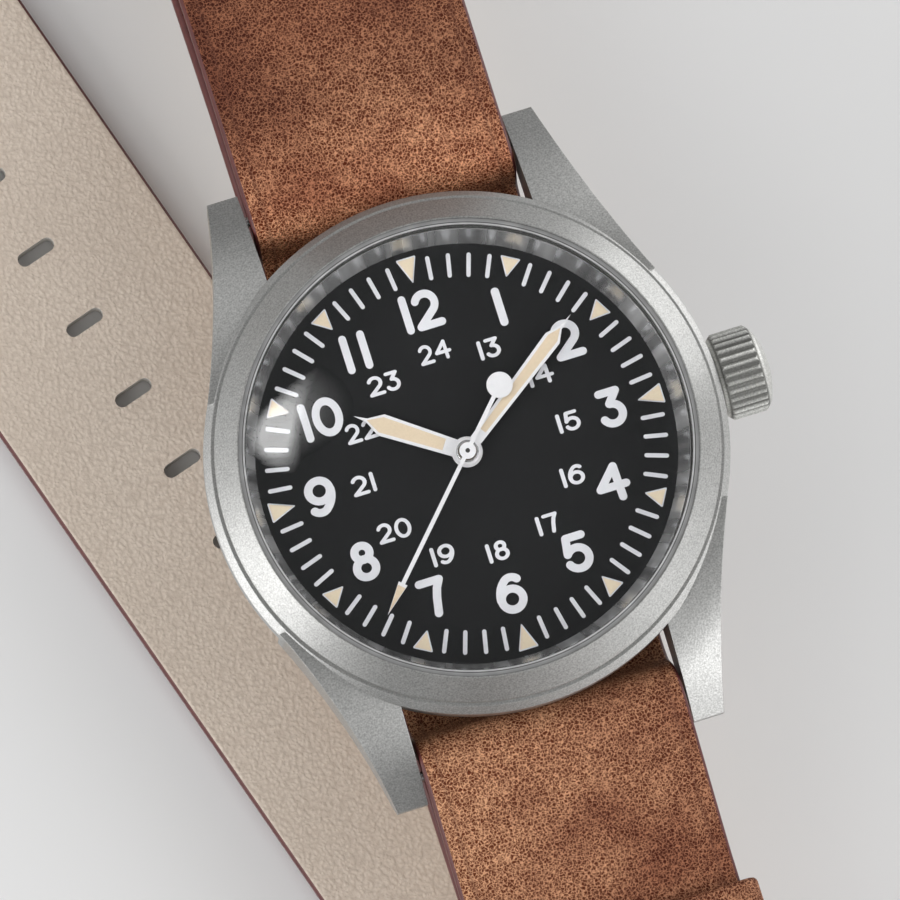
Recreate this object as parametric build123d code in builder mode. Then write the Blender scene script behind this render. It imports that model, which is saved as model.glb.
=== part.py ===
from build123d import *

import os
from math import cos, degrees, pi, radians, sin, sqrt, tan

# Field watch on a pull-through leather strap, in millimetres.
# +X points to the crown, +Y to 12 o'clock and +Z out of the dial. The origin lies on the
# axis of the hands, at the underside of the strap layer that rests on the wrist.

os.makedirs("parts", exist_ok=True)

# Strap
strap_width = 19.8
main_thickness = 1.8
short_thickness = 1.5
layer_gap = 0.15  # air between stacked layers
tail_length = 110.7  # straight tail, from the turn to the tip
tail_tip_length = 14.0
tail_turn_angle = 17.28  # tail direction, from the watch's axis
turn_radius = 6.55  # centre of the leather in the turn at 6 o'clock
turn_setback = 3.2  # where the turn begins, past the lower keeper
slot_count = 9
slot_pitch = 6.4
slot_length = 2.8
slot_breadth = 1.0
first_slot = 18.2  # last slot's centre, from the tip

# Strap route, sides at 12 and 6 o'clock
rise_angle = 75.0  # climb between case flank and spring bar
rise_radius = 2.2
bar_gap = 0.1  # leather to bar
drop_angle = 34.0  # main layer, from the level run down to the table
drop_radius = 30.0
foot_reach = 39.8  # where it comes down, past the spring bar
foot_radius = 17.0
slope_angle = 16.0  # short layer, down to the table
slope_reach = 8.4  # start of the slope, past the spring bar
slope_radius = 40.0
lower_fall_angle = 16.6  # main layer, past the lower spring bar
lower_fall_radius = 15.0
keeper_height = 2.0  # centre of the short layer inside the lower keeper
keeper_rise_reach = 2.8  # past the spring bar
keeper_rise_length = 8.0
keeper_rise_radius = 20.0
flap_length = 14.0  # leather folded back at the buckle
flap_bend = 5.0
flap_bend_radius = 3.0

# Keepers
keeper_wall = 1.0
keeper_gap = 0.2  # side play of the strap
keeper_rounding = 0.6
lower_keeper_reach = 14.0  # near edge, past the spring bar
lower_keeper_length = 5.5
fixed_keeper_length = 5.0
fixed_keeper_setback = 11.5  # far edge, from the buckle bar
free_keeper_length = 5.0
free_keeper_setback = 21.0
sliding_gap = 0.05

# Buckle
buckle_reach = 70.8  # buckle bar, past the upper spring bar
buckle_bar_radius = 0.75
buckle_bar_setback = 0.2  # ends inside the frame's arms
table_gap = 0.05  # lowest leather above the table
frame_side_gap = 0.4  # beside the strap
frame_arm = 1.8
frame_thickness = 1.9
frame_reach = 10.2  # bar axis to the outer edge of the cross-bar
frame_bar = 2.2
frame_eye_radius = 1.6
frame_rounding = 3.0
hinge_gap = 0.05
tongue_width = 1.8
tongue_thickness = 1.0
tongue_eye_radius = 1.55
tongue_rise = 2.5  # eye to the straight of the tongue
tongue_overhang = 0.6
tongue_slot = 3.4

# Case, with insets from its radius and heights above the case back
case_radius = 19.05
foot_inset = 1.65
case_foot = 0.5
flank_inset = 0.85
case_flank = 1.9
case_belt = 3.9
case_shoulder = 5.9
case_top = 6.9
top_inset = 0.5
bore_inset = 2.65
neck_inset = 1.6
case_neck = 0.4
back_overlap = 0.55  # case back past the bore
back_gap = 0.05
back_flange = 0.9
back_thickness = 1.0
back_spigot_wall = 0.6
back_spigot_height = 0.7
back_chamfer = 0.35
back_notch_count = 6
back_notch_width = 2.4
back_notch_depth = 0.9
gasket_breadth = 0.4
gasket_height = 0.3

# Lugs
lug_side_gap = 0.2  # beside the strap
lug_overhang = 2.05  # tip, past the spring bar
lug_tip_width = 2.3
lug_waist_reach = 2.17  # outside the case
lug_waist_angle = 47.7
lug_root_angle = 27.2
lug_start = 8.0
lug_root_top = 6.75
lug_crest_setback = 4.7
lug_crest_height = 5.55
lug_tip_top = 1.9
lug_tip_bottom = 0.6
lug_toe_setback = 0.75
lug_toe_drop = 0.35  # below the case back
lug_heel_setback = 6.2
lug_heel_height = 0.6

# Spring bars
bar_reach = 2.15  # outside the case
bar_height = 1.9
bar_radius = 0.75
bar_tube_gap = 0.35  # end of the tube to the lug
pin_radius = 0.4
pin_length = 2.2
pin_reach = 1.1  # into the lug
pin_hole_gap = 0.05
pin_bore_gap = 0.03
pin_bore_depth = 2.6

# Bezel, crystal and chapter ring
bezel_inset = 0.75  # groove round the bezel, from the case's radius
bezel_rim = 0.5
bezel_slope = 1.6
bezel_land = 0.1
bezel_height = 2.2
bezel_ledge = 0.25
bezel_seat_gap = 0.05
crystal_overlap = 0.15  # crystal on the bezel's ledge
crystal_edge = 1.6
crystal_dome = 0.3
crystal_gasket_breadth = 0.5
crystal_gasket_height = 1.4
rehaut_foot = 1.25
rehaut_top = 0.45

# Dial and hands, lengths as shares of the dial's opening
dial_inset = 0.5
dial_thickness = 0.4
dial_hole = 0.95
dial_foot_radius = 0.35
dial_foot_length = 0.8
dial_foot_place = 11.6
hand_gap = 0.35
hand_spacing = 0.3
hand_thickness = 0.15
seconds_thickness = 0.1
hour_angle = 304.8
minute_angle = 54.2
seconds_angle = 223.2
hour_tip_share = 0.567
hour_shoulder_share = 0.430
hour_needle_share = 0.503
hour_root_width = 1.2
hour_width = 1.6
hour_boss = 1.12
minute_tip_share = 0.828
minute_shoulder_share = 0.682
minute_needle_share = 0.742
minute_root_width = 0.85
minute_width = 1.26
minute_boss = 0.95
needle_width = 0.26
hand_rail = 0.22  # white frame beside the luminous filling
hour_lume_start = 1.74
minute_lume_start = 1.86
seconds_tip_share = 0.874
seconds_arrow_share = 0.709
seconds_arrow_width = 0.7
seconds_width = 0.3
seconds_tail_share = 0.351
seconds_disc = 0.95
seconds_boss = 0.6

# Crown and stem
stem_radius = 0.45
stem_inner_end = 8.6
stem_into_crown = 2.1
crown_radius = 3.25
crown_gap = 0.05  # crown to case
crown_length = 4.0
crown_dome = 0.6
crown_edge = 0.5
crown_flutes = 30
crown_flute_depth = 0.2
crown_cavity_radius = 1.5
crown_cavity_depth = 1.5
tube_radius = 1.0
tube_reach = 1.2  # into the crown
crown_gasket_length = 0.4
crown_gasket_setback = 1.45
running_gap = 0.03

# Movement, heights above its back
movement_radius = 12.8
movement_height = 3.35
movement_gap = 0.15
ring_gap = 0.05
ring_height = 2.85
ring_stem_hole = 0.6
plate_height = 1.6
stem_height = 1.8
arbor_radius = 0.15
arbor_start = 0.1
pivot_depth = 0.4
screw_radius = 0.35
screw_depth = 0.6  # thread in the main plate
screw_head_radius = 0.62
screw_head = 0.15
pillar_radius = 1.1
jewel_radius = 0.5
jewel_thickness = 0.2

# Winding work
winding_teeth = 14
crown_wheel_teeth = 34
ratchet_teeth = 48
crown_wheel_radius = 3.25
winding_x = 10.3  # where the crown wheel meets the winding pinion
winding_length = 0.45
winding_pocket = 0.1
winding_wheel_height = 0.25
winding_wheel_thickness = 0.28
winding_addendum = 0.1
winding_dedendum = 0.15
click_radius = 0.6
click_angle = 150.0  # place beside the ratchet wheel
click_span = 18.0  # pivot to tip, round the ratchet wheel
crown_wheel_boss = 0.8

# Going train, pitch radii with teeth counts
barrel_teeth = 72
barrel_radius = 5.6
centre_pinion_leaves = 9
centre_teeth = 64
centre_radius = 3.9
third_leaves = 8
third_teeth = 60
fourth_leaves = 8
fourth_teeth = 72
escape_leaves = 6
fourth_radius = 3.95
escape_teeth = 15
escape_radius = 2.1
escape_tooth = 0.5
addendum = 0.09
dedendum = 0.12
wheel_thickness = 0.1
wheel_rim = 0.35
wheel_hub = 0.75
wheel_spoke = 0.4
wheel_spokes = 5
third_angle = -100.0
escape_angle = 195.0
fourth_wheel_height = 0.63
third_wheel_height = 0.81
centre_wheel_height = 1.05
escape_wheel_height = 1.25
fourth_pinion_height = 0.72
fourth_pinion_length = 0.25
third_pinion_height = 0.9
third_pinion_length = 0.29
centre_pinion_height = 1.15
centre_pinion_length = 0.4
escape_pinion_height = 0.58
escape_pinion_length = 0.22
centre_tube_start = 1.0
centre_tube_radius = 0.4
centre_tube_bore = 0.2
barrel_height = 1.23
barrel_thickness = 0.82
barrel_flange_height = 0.1
barrel_flange = 0.2
barrel_drum_radius = 5.2
barrel_wall = 0.25
barrel_lid = 0.12
barrel_recess_gap = 0.15
barrel_end_gap = 0.05
mainspring_turns = 5
mainspring_thickness = 0.16
mainspring_pitch = 0.62
mainspring_start = 1.35
barrel_core_radius = 0.7
barrel_pivot_radius = 0.5

# Escapement
line_angle = 136.4  # escape wheel to balance
pallet_distance = 2.5
balance_distance = 5.0
pallet_height = 1.25
pallet_thickness = 0.14
pallet_arm_angle = 36.0  # pallets either side of the line of centres, at the escape wheel
pallet_reach = 0.2  # pallets outside the escape wheel
pallet_width = 0.3
fork_length = 2.2
balance_radius = 3.9
balance_rim = 0.45
balance_height = 0.6
balance_thickness = 0.38
balance_bar = 0.6
roller_radius = 0.5
roller_height = 1.03
roller_thickness = 0.12
balance_hub = 0.6
hairspring_turns = 5
hairspring_height = 0.38
hairspring_breadth = 0.1
hairspring_thickness = 0.05
hairspring_pitch = 0.28
hairspring_start = 0.45

# Motion work, under the dial
motion_floor = 2.3
motion_recess_gap = 0.2
motion_distance = 2.9
motion_angle = -50.0
cannon_leaves = 12
minute_wheel_teeth = 36
minute_pinion_leaves = 10
hour_wheel_teeth = 40
cannon_outer = 0.6
cannon_teeth_length = 0.28
minute_wheel_thickness = 0.18
minute_pinion_length = 0.35
hour_wheel_height = 2.67
hour_wheel_thickness = 0.18
hour_pipe_radius = 0.85
motion_post_radius = 0.2
motion_post_overhang = 0.05

# Bridges
bridge_height = 0.57
bridge_thickness = 0.4
bridge_edge_gap = 0.2
bridge_west = 5.6
bridge_south = 4.2
bridge_wheel_gap = 0.25
bridge_pillar_angles = (20.0, 112.0, -14.0)
train_bridge_height = 0.05
train_bridge_thickness = 0.3
train_bridge_width = 2.2
train_pillar_angles = (-100.0, -150.0)
cock_pillar_angle = 130.0
cock_thickness = 0.25
cock_width = 1.8
rim_inset = 1.35  # pillars, from the rim of the movement
overrun = 1.0  # cutting tools run this far past what they cut


def direction(angle):
    """Unit vector in the plane of the dial, counter-clockwise from the crown's side."""
    return cos(radians(angle)), sin(radians(angle))


def polar(radius, angle, centre=(0, 0)):
    """Point at a radius and an angle about a centre."""
    return centre[0] + radius * direction(angle)[0], centre[1] + radius * direction(angle)[1]


def lines_meet(point_a, angle_a, point_b, angle_b):
    """Where two straight runs of the strap's route would meet in a corner."""
    ax, ay = direction(angle_a)
    bx, by = direction(angle_b)
    along = ((point_b[0] - point_a[0]) * by - (point_b[1] - point_a[1]) * bx) / (ax * by - ay * bx)
    return point_a[0] + along * ax, point_a[1] + along * ay


def mirrored(*points):
    """The same corners of the strap's route on the 6 o'clock side."""
    return [(-point[0], point[1]) for point in points]


def mesh_turn(turn, teeth, other_teeth, line):
    """First tooth's angle on a wheel whose gaps receive the teeth of its neighbour."""
    offset_share = (turn - line) * teeth / 360
    return line + 180 - (offset_share - 1 / 2) * 360 / other_teeth


def turned(*points):
    """Closed outline of (radius, height) points, ready to be revolved about the hands' axis."""
    with BuildSketch(Plane.XZ) as outline:
        with BuildLine():
            Polyline(*points, close=True)
        make_face()
    return outline.sketch


def toothed(teeth, tip, root, turn=0.0, root_share=0.3, plane=Plane.XY):
    """Face with pointed teeth; root_share is half a tooth's breadth at its root, in pitches."""
    pitch = 360 / teeth
    points = []
    for tooth in range(teeth):
        middle = turn + tooth * pitch
        points.append(polar(root, middle - root_share * pitch))
        points.append(polar(tip, middle))
        points.append(polar(root, middle + root_share * pitch))
    with BuildSketch(plane) as outline:
        with BuildLine():
            Polyline(*points, close=True)
        make_face()
    return outline.sketch


def crossings(inner, outer, spoke, count):
    """Windows between the spokes of a wheel, each one straight-sided."""
    half = 180 / count
    inner_half = half - degrees(spoke / inner / 2)
    outer_half = half - degrees(spoke / outer / 2)
    with BuildSketch() as windows:
        for window in range(count):
            middle = 2 * half * window
            with BuildLine():
                Polyline(
                    polar(inner, middle - inner_half),
                    polar(outer, middle - outer_half),
                    polar(outer, middle),
                    polar(outer, middle + outer_half),
                    polar(inner, middle + inner_half),
                    close=True,
                )
            make_face()
    return windows.sketch


def level(height, centre=(0, 0)):
    """Plane parallel to the dial at a height in the movement, over a centre."""
    return Plane((centre[0], centre[1], movement_z + height))


def hand_plane(angle, height):
    """Plane whose +Y runs along a hand that points at a clockwise angle from 12 o'clock."""
    along = radians(angle)
    return Plane((0, 0, height), x_dir=(cos(along), -sin(along), 0), z_dir=(0, 0, 1))


def spiral(start, pitch, turns, breadth):
    """Flat spiral ribbon of half circles, each one half a pitch wider than the last."""
    with BuildSketch() as ribbon:
        with BuildLine():
            for half in range(2 * turns):
                radius = start + half * pitch / 2
                shift = pitch / 4 if half % 2 else -pitch / 4
                side = 1 if half % 2 == 0 else -1
                ThreePointArc(
                    (shift + side * radius, 0),
                    (shift, side * radius),
                    (shift - side * radius, 0),
                )
        trace(line_width=breadth)
    return ribbon.sketch


# Widths and radii that follow the strap and the case
lug_gap = strap_width + 2 * lug_side_gap
bar_tube_length = lug_gap - 2 * bar_tube_gap
frame_inner_width = strap_width + 2 * frame_side_gap
frame_outer = frame_inner_width + 2 * frame_arm
case_bore = case_radius - bore_inset
case_neck_radius = case_radius - neck_inset
back_radius = case_bore + back_overlap
back_spigot_radius = case_bore - back_gap
gasket_inner = case_bore + back_gap
gasket_outer = gasket_inner + gasket_breadth
bezel_radius = case_radius - bezel_inset
bezel_inner_radius = bezel_radius - bezel_slope - bezel_land
crystal_radius = bezel_inner_radius - crystal_gasket_breadth
rehaut_outer_radius = case_bore - ring_gap
dial_opening = rehaut_outer_radius - rehaut_foot
crown_start = case_radius + crown_gap

# Places along the strap, from the hands' axis
bar_y = case_radius + bar_reach
lug_tip = bar_y + lug_overhang
lower_keeper_start = bar_y + lower_keeper_reach
turn_start = lower_keeper_start + lower_keeper_length + turn_setback
slope_start = bar_y + slope_reach
keeper_rise_start = bar_y + keeper_rise_reach
buckle_bar_y = bar_y + buckle_reach

# Heights of the stack
main_z = short_thickness + layer_gap + main_thickness / 2
back_z = main_z + main_thickness / 2 + layer_gap
movement_z = back_z + back_thickness + movement_gap
dial_z = movement_z + movement_height
dial_top = dial_z + dial_thickness
hour_z = dial_top + hand_gap
minute_z = hour_z + hand_thickness + hand_spacing
seconds_z = minute_z + hand_thickness + hand_spacing
case_top_z = back_z + case_top
neck_top_z = case_top_z + case_neck
ledge_z = neck_top_z + bezel_seat_gap
crystal_z = ledge_z + bezel_ledge
stem_z = movement_z + stem_height
stem_axis = Axis((0, 0, stem_z), (1, 0, 0))

# Strap route in the plane of Y and Z
bar_z = back_z + bar_height
wrap_radius = bar_radius + bar_gap + main_thickness / 2
rise_side = (
    bar_y - wrap_radius * sin(radians(rise_angle)),
    bar_z + wrap_radius * cos(radians(rise_angle)),
)
tail_z = keeper_height + short_thickness / 2 + main_thickness / 2 + layer_gap - 2 * turn_radius
table_z = tail_z - main_thickness / 2
stack_low = table_z + table_gap + keeper_wall + sliding_gap
short_low_z = stack_low + short_thickness / 2
flap_z = stack_low + main_thickness / 2
main_low_z = flap_z + main_thickness + layer_gap
loop_radius = buckle_bar_radius + bar_gap + main_thickness / 2
buckle_bar_z = table_z + table_gap + loop_radius + main_thickness / 2
slope_end = slope_start + (short_thickness / 2 - short_low_z) / tan(radians(slope_angle))
lower_main_z = keeper_height + (short_thickness + main_thickness) / 2 + layer_gap


def past_bar(angle):
    """Point where the main layer leaves a spring bar, falling at an angle."""
    return (
        bar_y + wrap_radius * sin(radians(angle)),
        bar_z + wrap_radius * cos(radians(angle)),
    )


rise_corner = lines_meet((0, main_z), 0, rise_side, rise_angle)
upper_crest = lines_meet(rise_side, rise_angle, past_bar(0), 0)
foot_corner = (bar_y + foot_reach, main_low_z)
drop_corner = lines_meet(past_bar(0), 0, foot_corner, -drop_angle)
lower_crest = lines_meet(rise_side, rise_angle, past_bar(lower_fall_angle), -lower_fall_angle)
keeper_corner = lines_meet(past_bar(lower_fall_angle), -lower_fall_angle, (0, lower_main_z), 0)
flap_end = buckle_bar_y - flap_length

# Main layer of the strap: from the flap round the buckle bar, over the upper spring bar,
# under the case, over the lower bar and round the turn to the tail
turn_lean = tail_turn_angle / 2
turn_axis = (-cos(radians(turn_lean)), -sin(radians(turn_lean)))
turn_shift = pi * turn_radius * tan(radians(turn_lean))
tail_start = (
    turn_shift * turn_axis[0],
    -turn_start + turn_shift * turn_axis[1],
    tail_z,
)
tail_plane = Plane(
    (tail_start[0], tail_start[1], table_z),
    x_dir=(-sin(radians(tail_turn_angle)), cos(radians(tail_turn_angle)), 0),
    z_dir=(0, 0, 1),
)
with BuildPart() as strap_main:
    with BuildSketch(Plane.YZ):
        with BuildLine():
            FilletPolyline(
                (flap_end, flap_z),
                (buckle_bar_y - flap_bend, flap_z),
                (buckle_bar_y - flap_bend / 2, buckle_bar_z - loop_radius),
                (buckle_bar_y, buckle_bar_z - loop_radius),
                radius=flap_bend_radius,
            )
            ThreePointArc(
                (buckle_bar_y, buckle_bar_z - loop_radius),
                (buckle_bar_y + loop_radius, buckle_bar_z),
                (buckle_bar_y, buckle_bar_z + loop_radius),
            )
            FilletPolyline(
                (buckle_bar_y, buckle_bar_z + loop_radius),
                (buckle_bar_y - flap_bend / 2, buckle_bar_z + loop_radius),
                (buckle_bar_y - flap_bend, main_low_z),
                foot_corner,
                drop_corner,
                upper_crest,
                rise_corner,
                *mirrored(rise_corner, lower_crest, keeper_corner),
                (-turn_start, lower_main_z),
                radius=[
                    flap_bend_radius,
                    flap_bend_radius,
                    foot_radius,
                    drop_radius,
                    wrap_radius,
                    rise_radius,
                    rise_radius,
                    wrap_radius,
                    lower_fall_radius,
                ],
            )
        trace(line_width=main_thickness)
    extrude(amount=strap_width / 2, both=True)
    with BuildLine() as turn_line:
        Helix(
            2 * turn_shift,
            turn_shift,
            turn_radius,
            lefthand=True,
        )
    turn_frame = Plane(
        (0, -turn_start, tail_z + turn_radius),
        x_dir=(0, 0, 1),
        z_dir=(turn_axis[0], turn_axis[1], 0),
    )
    turn_path = turn_line.line.moved(turn_frame.location)
    with BuildSketch(Plane((0, -turn_start, lower_main_z), x_dir=(1, 0, 0), z_dir=(0, -1, 0))) as turn_face:
        Rectangle(strap_width, main_thickness)
    sweep(turn_face.sketch, path=turn_path, is_frenet=True)
    with BuildSketch(tail_plane):
        with BuildLine():
            Polyline(
                (tail_length - tail_tip_length, strap_width / 2),
                (0, strap_width / 2),
                (0, -strap_width / 2),
                (tail_length - tail_tip_length, -strap_width / 2),
            )
            TangentArc(
                (tail_length - tail_tip_length, -strap_width / 2),
                (tail_length, 0),
                tangent=(1, 0),
            )
            TangentArc(
                (tail_length - tail_tip_length, strap_width / 2),
                (tail_length, 0),
                tangent=(1, 0),
            )
        make_face()
    extrude(amount=main_thickness)
    with BuildSketch(tail_plane):
        for slot in range(slot_count):
            with Locations((tail_length - first_slot - slot * slot_pitch, 0)):
                SlotOverall(slot_length, slot_breadth, rotation=90)
    extrude(amount=main_thickness, mode=Mode.SUBTRACT)
    with BuildSketch(Plane.XY.offset(table_z)):
        with Locations((0, buckle_bar_y)):
            Rectangle(tongue_slot, 2 * flap_bend)
    extrude(amount=2 * (buckle_bar_z - table_z), mode=Mode.SUBTRACT)
strap_main.part.label = "strap_main"

# Short layer: sewn in at the buckle, it runs under the case to the lower keeper
with BuildPart() as strap_short:
    with BuildSketch(Plane.YZ):
        with BuildLine():
            FilletPolyline(
                (flap_end - layer_gap, short_low_z),
                (slope_end, short_low_z),
                (slope_start, short_thickness / 2),
                (-keeper_rise_start, short_thickness / 2),
                (-keeper_rise_start - keeper_rise_length, keeper_height),
                (-lower_keeper_start - lower_keeper_length, keeper_height),
                radius=[slope_radius, slope_radius, keeper_rise_radius, keeper_rise_radius],
            )
        trace(line_width=short_thickness)
    extrude(amount=strap_width / 2, both=True)
strap_short.part.label = "strap_short"


def keeper_section(low, high, gap):
    """Loop of leather round the layers between two heights, in the plane of X and Z."""
    width = strap_width + 2 * keeper_gap
    height = high - low + 2 * gap
    with BuildSketch(Plane.XZ) as section:
        with Locations((0, (low + high) / 2)):
            RectangleRounded(width + 2 * keeper_wall, height + 2 * keeper_wall, 2 * keeper_rounding)
            RectangleRounded(width, height, keeper_gap, mode=Mode.SUBTRACT)
    return section.sketch


with BuildPart() as keeper_lower:
    low = keeper_height - short_thickness / 2
    high = lower_main_z + main_thickness / 2
    extrude(keeper_section(low, high, 0), amount=lower_keeper_length)
    keeper_lower.part.position = (0, -lower_keeper_start, 0)
keeper_lower.part.label = "keeper_lower"

with BuildPart() as keeper_fixed:
    low = flap_z - main_thickness / 2
    high = main_low_z + main_thickness / 2
    extrude(keeper_section(low, high, 0), amount=-fixed_keeper_length)
    keeper_fixed.part.position = (0, buckle_bar_y - fixed_keeper_setback, 0)
keeper_fixed.part.label = "keeper_fixed"

with BuildPart() as keeper_free:
    low = short_low_z - short_thickness / 2
    high = main_low_z + main_thickness / 2
    extrude(keeper_section(low, high, sliding_gap), amount=-free_keeper_length)
    keeper_free.part.position = (0, buckle_bar_y - free_keeper_setback, 0)
keeper_free.part.label = "keeper_free"

# Buckle: a frame with a cross-bar, a bar through its two eyes and a tongue
buckle_axis = (buckle_bar_y, buckle_bar_z)
with BuildPart() as buckle_bar:
    with BuildSketch(Plane.YZ):
        with Locations(buckle_axis):
            Circle(buckle_bar_radius)
    extrude(amount=frame_outer / 2 - buckle_bar_setback, both=True)
buckle_bar.part.label = "buckle_bar"

frame_top_z = buckle_bar_z + frame_thickness / 2
with BuildPart() as buckle_frame:
    with BuildSketch(Plane.XY.offset(buckle_bar_z - frame_thickness / 2)):
        with Locations((0, buckle_bar_y + frame_reach / 2)):
            Rectangle(frame_outer, frame_reach)
            with Locations((0, -frame_bar)):
                RectangleRounded(frame_inner_width, frame_reach, frame_rounding / 2, mode=Mode.SUBTRACT)
    extrude(amount=frame_thickness)
    front_corners = buckle_frame.edges().filter_by(Axis.Z).group_by(Axis.Y)[-1]
    fillet(front_corners, frame_rounding)
    with BuildSketch(Plane.YZ.offset(-frame_outer / 2)):
        with Locations(buckle_axis):
            Circle(frame_eye_radius)
    extrude(amount=frame_arm)
    with BuildSketch(Plane.YZ.offset(frame_outer / 2)):
        with Locations(buckle_axis):
            Circle(frame_eye_radius)
    extrude(amount=-frame_arm)
    with BuildSketch(Plane.YZ.offset(-frame_outer / 2)):
        with Locations(buckle_axis):
            Circle(buckle_bar_radius + hinge_gap)
    extrude(amount=frame_outer, mode=Mode.SUBTRACT)
buckle_frame.part.label = "buckle_frame"

tongue_z = frame_top_z + hinge_gap + tongue_thickness / 2
with BuildPart() as buckle_tongue:
    with BuildSketch(Plane.YZ):
        with Locations(buckle_axis):
            Circle(tongue_eye_radius)
        with BuildLine():
            FilletPolyline(
                (buckle_bar_y, buckle_bar_z + tongue_eye_radius - tongue_thickness / 2),
                (buckle_bar_y + tongue_rise, tongue_z),
                (buckle_bar_y + frame_reach + tongue_overhang, tongue_z),
                radius=tongue_rise,
            )
        trace(line_width=tongue_thickness)
        with Locations(buckle_axis):
            Circle(buckle_bar_radius + hinge_gap, mode=Mode.SUBTRACT)
    extrude(amount=tongue_width / 2, both=True)
buckle_tongue.part.label = "buckle_tongue"

# Mid-case with its four lugs
with BuildPart() as mid_case:
    revolve(
        turned(
            (case_radius - foot_inset, back_z + case_foot),
            (case_radius - flank_inset, back_z + case_flank),
            (case_radius, back_z + case_belt),
            (case_radius, back_z + case_shoulder),
            (case_radius - top_inset, case_top_z),
            (case_neck_radius, case_top_z),
            (case_neck_radius, neck_top_z),
            (case_bore, neck_top_z),
            (case_bore, back_z + case_foot),
        ),
        axis=Axis.Z,
    )
    with BuildSketch(Plane.XY.offset(back_z - lug_toe_drop)):
        with BuildLine():
            Polyline(
                polar(case_radius, lug_root_angle),
                (lug_gap / 2, lug_start),
                (lug_gap / 2, lug_tip),
                (lug_gap / 2 + lug_tip_width, lug_tip),
            )
            ThreePointArc(
                (lug_gap / 2 + lug_tip_width, lug_tip),
                polar(case_radius + lug_waist_reach, lug_waist_angle),
                polar(case_radius, lug_root_angle),
            )
        make_face()
        mirror(about=Plane.YZ)
        mirror(about=Plane.XZ)
    lugs = extrude(amount=case_top + lug_toe_drop, mode=Mode.PRIVATE)
    with BuildSketch(Plane.YZ):
        with BuildLine():
            Polyline(
                (lug_start, back_z + lug_root_top),
                (lug_start, back_z + lug_heel_height),
                (bar_y - lug_heel_setback, back_z + lug_heel_height),
            )
            TangentArc(
                (bar_y - lug_heel_setback, back_z + lug_heel_height),
                (lug_tip - lug_toe_setback, back_z - lug_toe_drop),
                tangent=(1, 0),
            )
            Polyline(
                (lug_tip - lug_toe_setback, back_z - lug_toe_drop),
                (lug_tip, back_z + lug_tip_bottom),
                (lug_tip, back_z + lug_tip_top),
            )
            ThreePointArc(
                (lug_tip, back_z + lug_tip_top),
                (bar_y - lug_crest_setback, back_z + lug_crest_height),
                (lug_start, back_z + lug_root_top),
            )
        make_face()
        mirror(about=Plane.YZ)
    side_view = extrude(amount=case_radius, both=True, mode=Mode.PRIVATE)
    add(lugs & side_view)
    with BuildSketch(Plane.XY.offset(back_z)):
        Circle(case_bore)
    extrude(amount=case_top + case_neck, mode=Mode.SUBTRACT)
    with BuildSketch(Plane.XY.offset(back_z)):
        Circle(back_radius + back_gap)
    extrude(amount=back_flange, mode=Mode.SUBTRACT)
    with BuildSketch(Plane.XY.offset(back_z)):
        Circle(gasket_outer + ring_gap)
    extrude(amount=back_flange + gasket_height, mode=Mode.SUBTRACT)
    with BuildSketch(Plane.YZ.offset(-lug_gap / 2 - pin_reach - pin_hole_gap)):
        with Locations((bar_y, bar_z), (-bar_y, bar_z)):
            Circle(pin_radius + pin_hole_gap)
    extrude(amount=lug_gap + 2 * (pin_reach + pin_hole_gap), mode=Mode.SUBTRACT)
    with BuildSketch(Plane.YZ.offset(case_bore - overrun)):
        with Locations((0, stem_z)):
            Circle(tube_radius)
    extrude(amount=case_radius - case_bore + 2 * overrun, mode=Mode.SUBTRACT)
mid_case.part.label = "mid_case"

with BuildPart() as case_back:
    revolve(
        turned(
            (0, back_z),
            (back_radius - back_chamfer, back_z),
            (back_radius, back_z + back_chamfer),
            (back_radius, back_z + back_flange),
            (back_spigot_radius, back_z + back_flange),
            (back_spigot_radius, back_z + back_flange + back_spigot_height),
            (back_spigot_radius - back_spigot_wall, back_z + back_flange + back_spigot_height),
            (back_spigot_radius - back_spigot_wall, back_z + back_thickness),
            (0, back_z + back_thickness),
        ),
        axis=Axis.Z,
    )
    with BuildSketch(Plane.XY.offset(back_z)):
        with PolarLocations(back_radius, back_notch_count):
            Rectangle(2 * back_notch_depth, back_notch_width)
    extrude(amount=back_flange / 2, mode=Mode.SUBTRACT)
case_back.part.label = "case_back"

with BuildPart() as case_back_gasket:
    revolve(
        turned(
            (gasket_inner, back_z + back_flange),
            (gasket_outer, back_z + back_flange),
            (gasket_outer, back_z + back_flange + gasket_height),
            (gasket_inner, back_z + back_flange + gasket_height),
        ),
        axis=Axis.Z,
    )
case_back_gasket.part.label = "case_back_gasket"

# Bezel, crystal and what lies under its rim
bezel_top_z = case_top_z + bezel_height
with BuildPart() as bezel:
    revolve(
        turned(
            (case_neck_radius, case_top_z),
            (bezel_radius, case_top_z),
            (bezel_radius, case_top_z + bezel_rim),
            (bezel_radius - bezel_slope, bezel_top_z),
            (bezel_inner_radius, bezel_top_z),
            (bezel_inner_radius, crystal_z),
            (crystal_radius - crystal_overlap, crystal_z),
            (crystal_radius - crystal_overlap, ledge_z),
            (case_neck_radius, ledge_z),
        ),
        axis=Axis.Z,
    )
bezel.part.label = "bezel"

with BuildPart() as crystal:
    with BuildSketch(Plane.XZ):
        with BuildLine():
            Polyline(
                (0, crystal_z + crystal_edge + crystal_dome),
                (0, crystal_z),
                (crystal_radius, crystal_z),
                (crystal_radius, crystal_z + crystal_edge),
            )
            TangentArc(
                (0, crystal_z + crystal_edge + crystal_dome),
                (crystal_radius, crystal_z + crystal_edge),
                tangent=(1, 0),
            )
        make_face()
    revolve(axis=Axis.Z)
crystal.part.label = "crystal"

with BuildPart() as crystal_gasket:
    revolve(
        turned(
            (crystal_radius, crystal_z),
            (bezel_inner_radius, crystal_z),
            (bezel_inner_radius, crystal_z + crystal_gasket_height),
            (crystal_radius, crystal_z + crystal_gasket_height),
        ),
        axis=Axis.Z,
    )
crystal_gasket.part.label = "crystal_gasket"

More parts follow.
